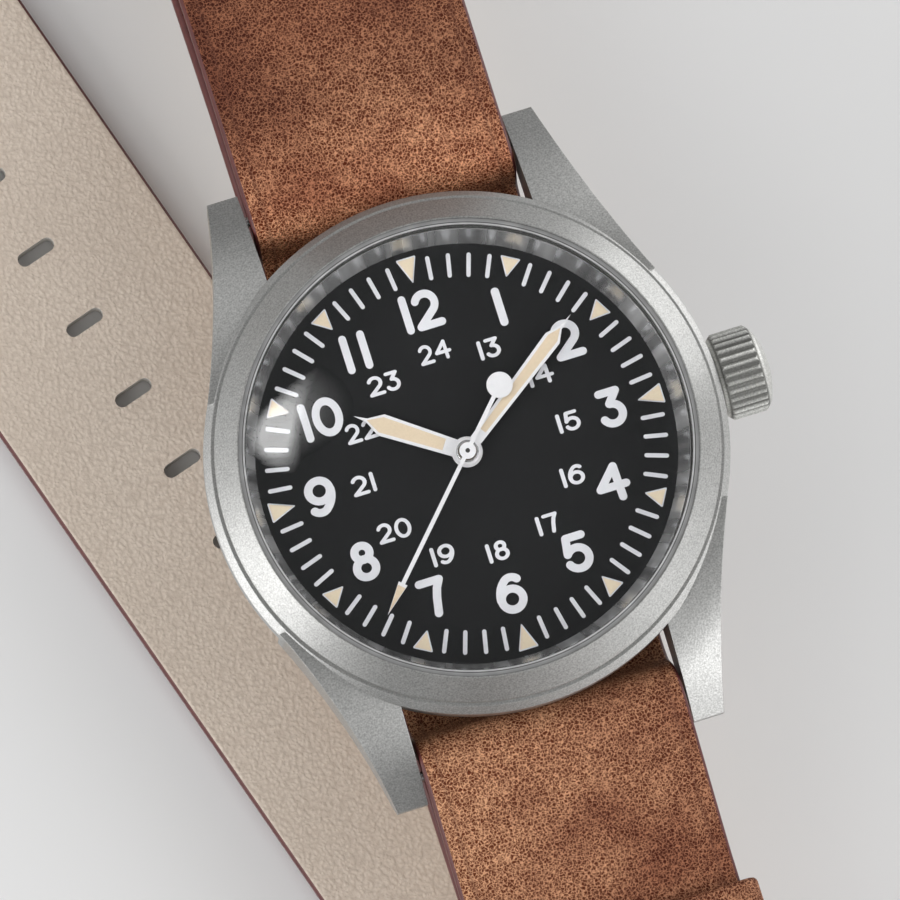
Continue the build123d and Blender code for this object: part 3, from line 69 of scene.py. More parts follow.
# %% [markdown]
# ## The camera
#
# A product photo is taken from far away with a long lens, so the circles stay round. The watch
# lies turned by 17.2 degrees in the picture, and the camera looks down a few degrees off the
# axis of the hands. Three directions describe that: across and up in the picture, and towards
# the viewer. A camera object looks along its own -Z, so its matrix is made of those directions.

# %% Place the camera
picture_turn = radians(17.2)
lean_across = radians(2.4)
lean_up = radians(7.0)
camera_reach = 600.0
pixels_per_mm = 13.84
picture_size = 900
sensor_width = 36.0
dial_centre = Vector((0, 0, 9.0))
dial_left_of_middle = 17.0  # in pixels, like the next one
dial_above_middle = 2.5

turned_across = Vector((cos(picture_turn), -sin(picture_turn), 0))
turned_up = Vector((sin(picture_turn), cos(picture_turn), 0))
to_viewer = (
    Vector((0, 0, 1)) - tan(lean_across) * turned_across - tan(lean_up) * turned_up
).normalized()
picture_across = (turned_across - turned_across.dot(to_viewer) * to_viewer).normalized()
picture_up = to_viewer.cross(picture_across)
focal_pixels = pixels_per_mm * camera_reach
aim = (
    -to_viewer
    + picture_across * dial_left_of_middle / focal_pixels
    - picture_up * dial_above_middle / focal_pixels
)
eye = dial_centre - camera_reach * aim

camera_data = bpy.data.cameras.new("camera")
camera_data.sensor_width = sensor_width
camera_data.lens = sensor_width * focal_pixels / picture_size
camera_data.clip_start = 10 * MM
camera_data.clip_end = 10
camera = bpy.data.objects.new("camera", camera_data)
bpy.context.scene.collection.objects.link(camera)
axes = Matrix((picture_across, picture_up, to_viewer)).transposed().to_4x4()
camera.matrix_world = Matrix.Translation(eye * MM) @ axes
bpy.context.scene.camera = camera
print("camera lens:", round(camera_data.lens, 1), "mm, eye at", [round(value, 1) for value in eye])

# %% [markdown]
# ## Building finishes from nodes
#
# A finish is a small tree of nodes that ends in a Principled BSDF. Effects that several finishes
# share, such as grain or the speckle of blasted steel, are made once as node groups with named
# inputs and outputs. Short helpers keep the trees readable: each adds one node, fills its inputs
# with values or sockets, and gives back the socket that is wanted.


# %% Add and fill nodes
def feed(socket, value):
    """Links a socket to an input, or sets the input to a plain value."""
    if isinstance(value, bpy.types.NodeSocket):
        socket.id_data.links.new(value, socket)
    else:
        socket.default_value = value


def feed_inputs(node, **inputs):
    """Fills the named inputs of a node, where _ stands for a space."""
    for name, value in inputs.items():
        feed(node.inputs[name.replace("_", " ")], value)


def add_node(tree, kind, **inputs):
    """A node of that kind with its named inputs filled."""
    made = tree.nodes.new("ShaderNode" + kind)
    feed_inputs(made, **inputs)
    return made


def combine(kind, values, numbers=None, **settings):
    """A node in the tree of the first socket among the values, which fill its numbered inputs."""
    tree = next(value.id_data for value in values if isinstance(value, bpy.types.NodeSocket))
    made = tree.nodes.new("ShaderNode" + kind)
    for name, setting in settings.items():
        setattr(made, name, setting)
    for number, value in zip(numbers or range(len(values)), values):
        feed(made.inputs[number], value)
    return made


# %% Sums, mixes and ranges
def do_math(operation, *values):
    """The result of one sum on numbers or sockets."""
    return combine("Math", values, operation=operation).outputs[0]


def vector_math(operation, *values):
    """The same for vectors. A length or a dot product comes out as a number."""
    made = combine("VectorMath", values, operation=operation)
    return made.outputs["Value" if operation in ("LENGTH", "DOT_PRODUCT") else "Vector"]


def mix_colours(share, first, second, blend="MIX"):
    """A blend of two colours by a share from 0 to 1."""
    made = combine("Mix", (share, first, second), (0, 6, 7), data_type="RGBA", blend_type=blend)
    return made.outputs[2]


def stretch_range(value, low, high, new_low=0.0, new_high=1.0):
    """Maps low..high to new_low..new_high, without going past the ends."""
    return combine("MapRange", (value, low, high, new_low, new_high)).outputs[0]


# %% Colours
def shade(red, green, blue):
    """A colour as a paint program shows it, 0 to 255, in the linear values that nodes use."""
    linear = [
        ((value / 255 + 0.055) / 1.055) ** 2.4 if value > 10 else value / 3295
        for value in (red, green, blue)
    ]
    return (*linear, 1.0)


# %% Groups and materials
def start_group(name, inputs, outputs):
    """An empty node group with named sockets, its input node and its output node."""
    group = bpy.data.node_groups.new(name, "ShaderNodeTree")
    for title, kind, value in inputs:
        socket = group.interface.new_socket(title, in_out="INPUT", socket_type="NodeSocket" + kind)
        if value is not None:
            socket.default_value = value
    for title, kind in outputs:
        group.interface.new_socket(title, in_out="OUTPUT", socket_type="NodeSocket" + kind)
    return group, group.nodes.new("NodeGroupInput").outputs, group.nodes.new("NodeGroupOutput").inputs


def use_group(group, place, **inputs):
    """Places a node group in a material and fills its inputs."""
    made = combine("Group", (place,), node_tree=group)
    feed_inputs(made, **inputs)
    return made.outputs


def start_material(name, colour, **settings):
    """A material, its tree, its Principled BSDF and the object's own coordinates."""
    material = bpy.data.materials.new(name)
    material.use_nodes = True
    material.diffuse_color = colour
    tree = material.node_tree
    surface = tree.nodes["Principled BSDF"]
    feed_inputs(surface, Base_Color=colour, **settings)
    place = tree.nodes.new("ShaderNodeTexCoord").outputs["Object"]
    return material, tree, surface, place


# %% [markdown]
# ## Leather
#
# The brown side of the strap is a grained, slightly waxed hide: light tan ridges in a fine
# network, with darker reddish pits between them and soft cloudy patches. A Voronoi texture
# measures how far a place is from the walls between its cells, which is just this network. Noise
# pushes the cells out of shape first, and finer noise breaks the ridges up. The same group gives
# a height for the bump, so colour and relief agree.


# %% Soft noise
def add_noise(place, scale, detail=2.0, roughness=0.5, output=0):
    """Soft noise from 0 to 1, with about scale waves in a metre."""
    settings = {"Vector": place, "Scale": scale, "Detail": detail, "Roughness": roughness}
    return add_node(place.id_data, "TexNoise", **settings).outputs[output]


def push_about(place, scale, reach, roughness=0.5):
    """The place moved by a coloured noise, by up to reach in metres."""
    warp = add_noise(place, scale, 2.0, roughness, output="Color")
    return vector_math("ADD", place, vector_math("MULTIPLY", warp, (reach, reach, reach)))


# %% Group: leather grain
cells_per_metre = 3800.0
leather_grain, grain_in, grain_out = start_group(
    "leather_grain",
    [
        ("Vector", "Vector", None),
        ("Ridge", "Color", shade(222, 166, 126)),
        ("Pit", "Color", shade(96, 40, 14)),
        ("Cloud", "Color", shade(176, 146, 140)),
    ],
    [("Color", "Color"), ("Height", "Float"), ("Ridges", "Float")],
)
place = grain_in["Vector"]
bent = push_about(place, 2600.0, 0.0004, 0.6)
cells = add_node(leather_grain, "TexVoronoi", Vector=bent, Scale=cells_per_metre)
cells.feature = "DISTANCE_TO_EDGE"
fine = add_noise(place, 6200.0, 3.0, 0.6)
clouds = add_noise(place, 85.0, 4.0, 0.6)
folds = add_noise(place, 650.0, 3.0)
ridges = stretch_range(cells.outputs["Distance"], 0.0, 0.1, 1.0, 0.0)
ridges = do_math("ADD", ridges, do_math("MULTIPLY", fine, 1.7))
ridges = do_math("ADD", ridges, do_math("MULTIPLY", folds, 0.5))
ridges = stretch_range(ridges, 1.02, 1.68)
patch = do_math("MULTIPLY", stretch_range(clouds, 0.4, 0.66), 0.85)
colour = mix_colours(ridges, grain_in["Pit"], grain_in["Ridge"])
clouded = mix_colours(patch, colour, grain_in["Cloud"], "MULTIPLY")
height = do_math("ADD", ridges, do_math("MULTIPLY", folds, 1.6))
for title, result in (("Color", clouded), ("Height", height), ("Ridges", ridges)):
    feed(grain_out[title], result)
print("leather grain: cells", round(1000 / cells_per_metre, 2), "mm across")

# %% [markdown]
# Inside, the strap is lined with pale, pebbled leather. The pebbles are lower and wider than
# the grain of the brown side, so the colour hardly changes and the bump does the work.

# %% Group: lining pebble
lining_pebble, pebble_in, pebble_out = start_group(
    "lining_pebble",
    [
        ("Vector", "Vector", None),
        ("Light", "Color", shade(234, 220, 205)),
        ("Shade", "Color", shade(214, 199, 184)),
    ],
    [("Color", "Color"), ("Height", "Float")],
)
place = pebble_in["Vector"]
bent = push_about(place, 900.0, 0.0005)
pebbles = add_node(lining_pebble, "TexVoronoi", Vector=bent, Scale=3200.0)
pebbles.feature = "SMOOTH_F1"
feed_inputs(pebbles, Smoothness=0.6)
creases = do_math("MULTIPLY", add_noise(place, 3800.0, 3.0), 0.8)
height = do_math("SUBTRACT", creases, pebbles.outputs["Distance"])
patches = add_noise(place, 60.0)
tone = stretch_range(do_math("ADD", height, patches), 0.2, 1.0)
feed(pebble_out["Color"], mix_colours(tone, pebble_in["Shade"], pebble_in["Light"]))
feed(pebble_out["Height"], height)
print("lining group has", len(lining_pebble.nodes), "nodes")

# %% [markdown]
# The brown side has a pressed line near both edges. A painted shade makes it browner and darker
# towards the buckle, and a painted light makes it lighter beside the case. The attribute
# "across", made with the bands below, tells how far a place is from the middle of the strap.


# %% Relief and paint
def add_bump(surface, height, strength, depth, **facing):
    """A relief on a finish, where a height of 1 stands depth mm proud."""
    relief = {"Strength": strength, "Distance": depth * MM, "Height": height, **facing}
    feed_inputs(surface, Normal=add_node(surface.id_data, "Bump", **relief).outputs[0])


def painted(name, tone, other, roughness, scale=1500.0, strength=0.1, depth=0.01, **settings):
    """A finish whose colour wavers between two close tones, with a faint relief to match."""
    material, tree, surface, place = start_material(name, tone, Roughness=roughness, **settings)
    spots = add_noise(place, scale, 3.0)
    feed_inputs(surface, Base_Color=mix_colours(spots, other, tone))
    add_bump(surface, spots, strength, depth)
    return material


# %% Finishes: brown side, lining, painted edge and the walls of the slots
crease_reach = 8.75
strap_brown, tree, surface, place = start_material(
    "strap_brown", shade(128, 82, 60), Roughness=0.62, Specular_IOR_Level=0.22
)
grain = use_group(leather_grain, place)
across = add_node(tree, "Attribute")
across.attribute_name = "across"
reach = do_math("ABSOLUTE", across.outputs["Fac"])
from_crease = do_math("ABSOLUTE", do_math("SUBTRACT", reach, crease_reach))
crease = stretch_range(from_crease, 0.0, 0.22, 1.0, 0.0)
along_strap = add_node(tree, "SeparateXYZ", Vector=place).outputs[1]
# Painted shade: the brown side gets darker and browner towards the buckle.
painted_shade_to_buckle = stretch_range(along_strap, 20 * MM, 33 * MM, 0.0, 0.85)
painted_light_and_shade = mix_colours(painted_shade_to_buckle, grain["Color"], shade(194, 168, 162), "MULTIPLY")
# Painted light: the brown side gets lighter beside the case.
painted_light_by_case = stretch_range(along_strap, 19 * MM, 28 * MM, 0.7, 0.0)
painted_light_by_case = do_math("MULTIPLY", painted_light_by_case, stretch_range(along_strap, 0, MM))
painted_light_and_shade = mix_colours(painted_light_by_case, painted_light_and_shade, grain["Color"], "ADD")
creased_with_painted_light = mix_colours(do_math("MULTIPLY", crease, 0.4), painted_light_and_shade, shade(92, 50, 36))
sheen = stretch_range(grain["Ridges"], 0.0, 1.0, 0.78, 0.5)
feed_inputs(surface, Base_Color=creased_with_painted_light, Roughness=sheen)
relief = do_math("SUBTRACT", grain["Height"], do_math("MULTIPLY", crease, 0.8))
add_bump(surface, relief, 0.55, 0.09)

strap_lining, tree, surface, place = start_material(
    "strap_lining", shade(196, 184, 170), Roughness=0.7, Specular_IOR_Level=0.3
)
pebble = use_group(lining_pebble, place)
feed_inputs(surface, Base_Color=pebble["Color"])
add_bump(surface, pebble["Height"], 0.7, 0.1)

strap_edge = painted("strap_edge", shade(108, 48, 44), shade(68, 24, 24), 0.45, 1400.0, 0.3, 0.05)
# Painted light: the walls of the slots are pale, so the shade inside the slots reads lighter.
slot_wall_painted_light = painted("slot_wall_painted_light", shade(222, 218, 212), shade(190, 186, 180), 0.8, 3000.0, 0.4, 0.05)
leather = [strap_brown, strap_lining, strap_edge]
print("leather finishes:", [finish.name for finish in leather], slot_wall_painted_light.name)

# %% [markdown]
# ## A band of leather
#
# Every leather piece is a flat band that bends: under the case, over the spring bars, round the
# buckle bar. The section of the band is drawn once, a thin rectangle with rounded edges, and
# carried along the route: extruded over a straight run, turned in small steps round a bend.
# Two layers on the vertices remember where in the section each one lies, so the faces can be
# given the brown side, the lining or the painted edge afterwards.

# %% The section of a band
edge_rounding = 0.42
most_rounding = 0.42  # the largest share of the thickness that is rounded
rounding_steps = 3
bend_step = radians(9)


def rounding_of(thickness):
    """How far the edges of a band are rounded."""
    return min(edge_rounding, thickness * most_rounding)


def draw_section(mesh, width, thickness, place):
    """One face with rounded corners: X of place is across the band, Z its brown side."""
    layers = mesh.verts.layers.float
    layers.new("across")
    layers.new("depth")
    bmesh.ops.create_grid(mesh, x_segments=1, y_segments=1, size=0.5)
    bmesh.ops.scale(mesh, vec=(width, thickness, 1), verts=mesh.verts)
    bmesh.ops.bevel(
        mesh, geom=mesh.verts[:], affect="VERTICES", offset=rounding_of(thickness),
        offset_type="OFFSET", segments=rounding_steps, profile=0.5, material=-1,
    )
    across, depth = layers["across"], layers["depth"]
    for corner in mesh.verts:
        corner[across] = corner.co.x
        corner[depth] = corner.co.y
        corner.co = Vector((corner.co.x, 0, corner.co.y))
    bmesh.ops.transform(mesh, matrix=place, verts=mesh.verts)


def carry_section(mesh, rim, matrix):
    """Extrudes the rim once, moves the new rim by the matrix, returns its vertices and edges."""
    made = bmesh.ops.extrude_edge_only(mesh, edges=rim)["geom"]
    fresh = [entry for entry in made if isinstance(entry, bmesh.types.BMVert)]
    bmesh.ops.transform(mesh, matrix=matrix, verts=fresh)
    return fresh, [entry for entry in made if isinstance(entry, bmesh.types.BMEdge)]


# %% Straight runs and bends
def bend_of(centre, axis, angle, shift=0.0, step=bend_step):
    """Small turns about an axis through the centre; shift is slid along the axis in all."""
    steps = max(2, ceil(abs(angle) / step))
    turn = Matrix.Rotation(angle / steps, 4, axis)
    slide = Matrix.Translation(axis * shift / steps)
    about = Matrix.Translation(centre) @ turn @ Matrix.Translation(-centre)
    return [slide @ about] * steps


def follow(corners, radii):
    """Moves along straight lines between corners, each corner rounded by an arc of its radius."""
    moves = []
    here = corners[0]
    for before, corner, after, radius in zip(corners, corners[1:], corners[2:], radii):
        arriving = (corner - before).normalized()
        leaving = (after - corner).normalized()
        angle = arriving.angle(leaving)
        axis = arriving.cross(leaving).normalized()
        setback = radius * tan(angle / 2)
        bend_start = corner - arriving * setback
        moves.append(Matrix.Translation(bend_start - here))
        moves += bend_of(bend_start + axis.cross(arriving) * radius, axis, angle)
        here = corner + leaving * setback
    return [*moves, Matrix.Translation(corners[-1] - here)]


# %% Carry a section along its moves and make it a piece
def make_band(width, thickness, start, moves, closed=False):
    """A mesh of the whole band, in millimetres."""
    mesh = bmesh.new()
    draw_section(mesh, width, thickness, start)
    rim = mesh.edges[:]
    first_face = mesh.faces[:][0]
    for matrix in moves:
        rim = carry_section(mesh, rim, matrix)[1]
    if closed:
        bmesh.ops.delete(mesh, geom=[first_face], context="FACES_ONLY")
        bmesh.ops.remove_doubles(mesh, verts=mesh.verts, dist=0.01)
    else:
        bmesh.ops.contextual_create(mesh, geom=rim)
    return mesh


def paint_band(mesh, thickness, bare_rounding=0.25):
    """Material 0 on the brown side, 1 on the lining, 2 on the painted edges."""
    depth = mesh.verts.layers.float["depth"]
    edge_depth = thickness / 2 - rounding_of(thickness) * bare_rounding
    for face in mesh.faces:
        middle = sum(corner[depth] for corner in face.verts) / len(face.verts)
        face.material_index = 2 if abs(middle) < edge_depth else 0 if middle > 0 else 1
        face.smooth = True


def place_mesh(name, mesh, materials):
    """Turns a millimetre mesh into an object of the scene."""
    bmesh.ops.scale(mesh, vec=(MM, MM, MM), verts=mesh.verts)
    data = bpy.data.meshes.new(name)
    mesh.to_mesh(data)
    mesh.free()
    for material in materials:
        data.materials.append(material)
    placed = bpy.data.objects.new(name, data)
    bpy.context.scene.collection.objects.link(placed)
    return placed


def finish_piece(mesh, name, body, materials):
    """Makes a mesh a piece that rides on a body of the watch. A flat one faces upwards."""
    bmesh.ops.recalc_face_normals(mesh, faces=mesh.faces)
    heights = [corner.co.z for corner in mesh.verts]
    if max(heights) - min(heights) < 0.05:
        bmesh.ops.reverse_faces(mesh, faces=[face for face in mesh.faces if face.normal.z < 0])
    piece = place_mesh(name, mesh, materials)
    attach(piece, body)
    print(name, "has", len(piece.data.polygons), "faces")
    return piece


def flatten_shading(piece):
    """Large flat faces keep flat normals, so only the rounded edges shade as round."""
    piece.data.set_sharp_from_angle(angle=radians(40))
    weighted = piece.modifiers.new("flat faces stay flat", "WEIGHTED_NORMAL")
    weighted.keep_sharp = True
    weighted.weight = 100


# %% [markdown]
# ## The long layer of the strap
#
# It starts as a short flap sewn at the buckle, goes round the buckle bar, up over the upper
# spring bar, under the case, up over the lower bar, through a keeper, and then turns back under
# the whole watch with its lining up. The turn is a half turn about a slanted axis, which is why
# the tail leaves at twice that slant.

# %% Route of the long layer
strap_width = 19.8
long_thickness = 1.8
buckle_bar = Vector((0, 92.0, -7.5))
over_upper_bar = [(40.986, 7.25), (19.857, 7.25), (18.598, 2.55)]
over_lower_bar = [(-18.598, 2.55), (-19.975, 7.691), (-33.028, 3.8), (-43.9, 3.8)]
flap_points = [(78.0, -8.2), (87.0, -8.2), (89.5, -9.25), (92.0, -9.25)]
from_buckle = [(92.0, -5.75), (89.5, -5.75), (87.0, -6.25), (61.0, -6.25)]
body_points = [*from_buckle, *over_upper_bar, *over_lower_bar]
body_radii = [3, 3, 17, 30, 1.75, 2.2, 2.2, 1.75, 15]
fold_centre = Vector((0, -43.9, -2.75))
fold_shift = -3.1266  # slid along the slanted axis, so the tail lies straight under the watch
tail_turn = radians(17.28)
turn_axis = Vector((cos(tail_turn / 2), sin(tail_turn / 2), 0))
tail_start = Vector((-3.091, -44.370, -9.3))
tail_forward = Vector((-sin(tail_turn), cos(tail_turn), 0))
tail_side = Vector((cos(tail_turn), sin(tail_turn), 0))
tail_length = 110.7
tip_length = 14.0


def side_view(points):
    """Points of a route, given by their Y and Z."""
    return [Vector((0, y, z)) for y, z in points]


long_moves = follow(side_view(flap_points), [3, 3])
long_moves += bend_of(buckle_bar, Vector((1, 0, 0)), pi)
long_moves += follow(side_view(body_points), body_radii)
long_moves += bend_of(fold_centre, turn_axis, pi, shift=fold_shift)
for step in [20.0] * 4 + [16.7] + [tip_length / 14] * 14:
    long_moves.append(Matrix.Translation(tail_forward * step))
flap_place = Matrix.Translation((0, *flap_points[0])) @ Matrix.Rotation(pi, 4, "Y")
print("long layer:", len(long_moves), "moves")

# %% Shape the pointed end
long_band = make_band(strap_width, long_thickness, flap_place, long_moves)
tip_radius = (tip_length**2 + (strap_width / 2) ** 2) / strap_width
tail_ceiling = -8.3  # only the tail lies lower than this, except near the buckle
buckle_zone = 65
for corner in long_band.verts:
    from_start = corner.co - tail_start
    past_shoulder = from_start.dot(tail_forward) - (tail_length - tip_length)
    if corner.co.z < tail_ceiling and past_shoulder > 0 and corner.co.y < buckle_zone:
        half = sqrt(max(tip_radius**2 - past_shoulder**2, 0)) - tip_radius + strap_width / 2
        sideways = from_start.dot(tail_side)
        corner.co += tail_side * sideways * (max(half, 0.35) / (strap_width / 2) - 1)
paint_band(long_band, long_thickness)
strap_long = finish_piece(long_band, "strap_long", "watch", leather)
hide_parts("strap_main")

# %% [markdown]
# The nine slots and the opening for the buckle's tongue are cut with a Boolean. The cutter is
# made of bars with round ends. After the cut the modifier is applied, so the piece is one mesh.

# %% Cut the slots
slot_size = (3.05, 1.08, 4.0)
slot_rounding = 0.52
first_slot = 92.5
slot_pitch = 6.4
slot_shift = 0.07
opening_size = (3.4, 10, 8)  # for the buckle's tongue
slot_shapes = bmesh.new()
for number in range(9):
    earlier = set(slot_shapes.verts)
    bar = bmesh.ops.create_cube(slot_shapes, size=1)["verts"]
    bmesh.ops.scale(slot_shapes, vec=slot_size, verts=bar)
    uprights = [
        edge for edge in slot_shapes.edges
        if edge.verts[0] in bar and abs(edge.verts[0].co.z - edge.verts[1].co.z) > 3
    ]
    bmesh.ops.bevel(
        slot_shapes, geom=uprights, affect="EDGES", offset=slot_rounding,
        segments=5, profile=0.5, material=-1,
    )
    fresh = [corner for corner in slot_shapes.verts if corner not in earlier]
    bmesh.ops.rotate(
        slot_shapes, cent=(0, 0, 0), matrix=Matrix.Rotation(tail_turn, 3, "Z"), verts=fresh
    )
    along = tail_forward * (first_slot - slot_pitch * number)
    bmesh.ops.translate(slot_shapes, vec=tail_start + along + tail_side * slot_shift, verts=fresh)
opening_place = Matrix.Translation(buckle_bar) @ Matrix.Diagonal((*opening_size, 1))
bmesh.ops.create_cube(slot_shapes, size=1, matrix=opening_place)
cutter = place_mesh("slot_cutter", slot_shapes, [slot_wall_painted_light])
cut = strap_long.modifiers.new("slots", "BOOLEAN")
cut.object = cutter
cut.operation = "DIFFERENCE"
cut.solver = "EXACT"
cut.material_mode = "TRANSFER"
bpy.context.view_layer.update()
shown = strap_long.evaluated_get(bpy.context.evaluated_depsgraph_get())
cut_mesh = bpy.data.meshes.new_from_object(shown)
strap_long.modifiers.clear()
strap_long.data = cut_mesh
bpy.data.objects.remove(cutter)
flatten_shading(strap_long)
print("strap after the cut:", len(cut_mesh.polygons), "faces and", len(cut_mesh.materials), "finishes")

# %% [markdown]
# ## The short layer and the keepers
#
# The short layer is sewn in at the buckle and keeps the case off the wrist. The keepers are
# narrow bands that close on themselves round the other layers, so their route is a rounded
# rectangle and the two ends are merged.

# %% Short layer
short_thickness = 1.5
short_points = [
    (77.85, -8.35), (61.335, -8.35), (29.6, 0.75), (-24.0, 0.75), (-32.0, 2.0), (-40.7, 2.0)
]
short_place = Matrix.Translation((0, *short_points[0])) @ Matrix.Rotation(pi, 4, "Z")
short_moves = follow(side_view(short_points), [40, 40, 20, 20])
short_band = make_band(strap_width, short_thickness, short_place, short_moves)
paint_band(short_band, short_thickness, bare_rounding=0.02)
strap_under = finish_piece(short_band, "strap_under", "watch", leather)
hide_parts("strap_short")
flatten_shading(strap_under)


# %% Keepers
def make_keeper(name, node, body, wall=1.0):
    """A closed loop of leather that fills the walls of the CAD node it replaces."""
    low, high = (Vector(corner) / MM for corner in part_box(node))
    half = (high.x - low.x) / 2 - wall / 2
    bottom, top = low.z + wall / 2, high.z - wall / 2
    middle_y = (low.y + high.y) / 2
    loop = [(0, bottom), (half, bottom), (half, top), (-half, top), (-half, bottom), (0, bottom)]
    corners = [Vector((x, middle_y, z)) for x, z in loop]
    upright = Matrix.Rotation(pi / 2, 4, "Z") @ Matrix.Rotation(pi, 4, "Y")
    start = Matrix.Translation((0, middle_y, bottom)) @ upright
    band = make_band(high.y - low.y, wall, start, follow(corners, [0.9] * 4), closed=True)
    paint_band(band, wall)
    piece = finish_piece(band, name, body, [strap_brown, strap_lining, strap_brown])
    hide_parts(node)
    flatten_shading(piece)


make_keeper("keeper_by_case", "keeper_lower", "watch")
make_keeper("keeper_sewn", "keeper_fixed", "watch")
make_keeper("keeper_sliding", "keeper_free", "keeper_free")

# %% [markdown]
# ## Steel
#
# The case is stainless steel blasted with glass beads: thousands of tiny dents that turn every
# reflection into a soft glow with a fine sparkle. It is a metal with medium roughness and a very
# fine bump. A Bevel node softens the edges that the beads have rounded, which is where the thin
# bright lines on the lugs come from. On the case the surface also leans a little: outwards on
# the lugs, and upwards on the flank, as if both were filed slightly round.

# %% Group: blasted speckle
blasted_speckle, speckle_in, speckle_out = start_group(
    "blasted_speckle",
    [("Vector", "Vector", None), ("Tone", "Color", shade(190, 190, 188))],
    [("Color", "Color"), ("Height", "Float"), ("Roughness", "Float")],
)
place = speckle_in["Vector"]
dents = add_noise(place, 8000.0)
glint = stretch_range(dents, 0.3, 0.7)
tone = mix_colours(0.4, speckle_in["Tone"], glint, "MULTIPLY")
dullness = stretch_range(add_noise(place, 180.0), 0.3, 0.7, 0.38, 0.46)
for title, result in (("Color", tone), ("Height", dents), ("Roughness", dullness)):
    feed(speckle_out[title], result)
print("speckle group has", len(blasted_speckle.nodes), "nodes")


# %% Metal finishes
def off_axis(place, mask=(1, 1, 0)):
    """The part of a place that lies across an axis, and the distance from that axis."""
    level = vector_math("MULTIPLY", place, mask)
    return level, vector_math("LENGTH", level)


def soft_edges(tree, radius):
    """Normals of the surface with its edges rounded by a radius in mm."""
    rounded = add_node(tree, "Bevel", Radius=radius * MM)
    rounded.samples = 4
    return rounded.outputs[0]


def lean_normals(place, facing, lug_lean, flank_lift=0.4):
    """Normals that lean outwards on the lugs and upwards on the flank of the case."""
    tree = place.id_data
    reach = off_axis(place)[1]
    side = do_math("SIGN", add_node(tree, "SeparateXYZ", Vector=place).outputs[0])
    on_lug = stretch_range(reach, 20.0 * MM, 22.5 * MM, 0.0, lug_lean)
    flank_start = stretch_range(reach, 17.6 * MM, 18.2 * MM, 0.0, flank_lift)
    flank_end = stretch_range(reach, 19.06 * MM, 19.12 * MM, 1.0, 0.0)
    outward = do_math("MULTIPLY", side, on_lug)
    upward = do_math("MULTIPLY", flank_start, flank_end)
    lean = add_node(tree, "CombineXYZ", X=outward, Z=upward).outputs[0]
    return vector_math("NORMALIZE", vector_math("ADD", facing, lean))


def blasted_metal(name, tone, softening=0.12, lug_lean=0.0):
    """Bead-blasted steel with its edges softened by some mm."""
    material, tree, surface, place = start_material(name, tone, Metallic=1.0, Roughness=0.42)
    speckle = use_group(blasted_speckle, place, Tone=tone)
    feed_inputs(surface, Base_Color=speckle["Color"], Roughness=speckle["Roughness"])
    facing = soft_edges(tree, softening)
    if lug_lean:
        facing = lean_normals(place, facing, lug_lean)
    add_bump(surface, speckle["Height"], 0.5, 0.02, Normal=facing)
    return material


def turned_metal(name, tone, roughness):
    """Metal with the faint rings of a lathe round the Z axis, and small stains."""
    material, tree, surface, place = start_material(name, tone, Metallic=1.0, Roughness=roughness)
    height = add_node(tree, "SeparateXYZ", Vector=place).outputs[2]
    ring_place = add_node(tree, "CombineXYZ", X=off_axis(place)[1], Z=height).outputs[0]
    stains = add_noise(place, 700.0, 3.0)
    darker = tuple(value * 0.8 for value in tone[:3]) + (1.0,)
    dullness = stretch_range(stains, 0.3, 0.7, roughness * 0.8, roughness * 1.2)
    feed_inputs(surface, Base_Color=mix_colours(stains, darker, tone), Roughness=dullness)
    add_bump(surface, add_noise(ring_place, 9000.0), 0.15, 0.01)
    return material


case_blasted = blasted_metal("case_blasted", shade(201, 201, 199), softening=0.08, lug_lean=0.22)
# Painted shade: the bezel's steel is a darker copy of the case's blasted steel.
bezel_blasted_shaded = blasted_metal("bezel_blasted_shaded", shade(194, 194, 192), softening=0.08)
buckle_blasted = blasted_metal("buckle_blasted", shade(196, 196, 194))
plain_steel = turned_metal("plain_steel", shade(196, 196, 196), 0.25)
wheel_brass = turned_metal("wheel_brass", shade(214, 178, 104), 0.28)
plate_nickel = turned_metal("plate_nickel", shade(200, 198, 192), 0.33)
screw_blue = turned_metal("screw_blue", shade(40, 62, 140), 0.22)

# %% [markdown]
# Two steel pieces need more. The crown is a lighter copy of the blasted steel, a painted light,
# and its colour gets darker at the bottom of the flutes, just below the outer radius. The sloping
# ring round the dial is polished by hand; the soft light and dark streaks in its colour that point
# to the middle are a painted reflection. A noise read on the direction from the axis, and not on
# the place, gives such streaks.

# %% Crown and sloping ring
crown_low, crown_high = (Vector(corner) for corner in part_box("crown"))
crown_middle = (crown_low + crown_high) / 2
crown_reach = (crown_high.z - crown_low.z) / 2
# Painted light: the crown's steel is a lighter copy of the case's blasted steel.
crown_blasted_lit, tree, surface, place = start_material(
    "crown_blasted_lit", shade(238, 238, 234), Metallic=1.0, Roughness=0.5
)
from_axis = vector_math("SUBTRACT", place, (0, crown_middle.y, crown_middle.z))
spread = off_axis(from_axis, (0, 1, 1))[1]
below_ridge = stretch_range(spread, crown_reach - 0.19 * MM, crown_reach - 0.05 * MM, 1.0, 0.0)
in_flutes = stretch_range(spread, crown_reach - 0.34 * MM, crown_reach - 0.22 * MM)
# Darker at the bottom of the flutes, just below the outer radius.
flute_darkening = do_math("MULTIPLY", do_math("MULTIPLY", below_ridge, in_flutes), 0.75)
speckle = use_group(blasted_speckle, place, Tone=shade(230, 230, 226))
darker_in_flutes = mix_colours(flute_darkening, speckle["Color"], shade(70, 70, 66))
feed_inputs(surface, Base_Color=darker_in_flutes, Roughness=do_math("ADD", speckle["Roughness"], 0.1))
add_bump(surface, speckle["Height"], 0.2, 0.02, Normal=soft_edges(tree, 0.05))

rehaut_polished, tree, surface, place = start_material(
    "rehaut_polished", shade(150, 150, 150), Metallic=0.75, Roughness=0.24
)
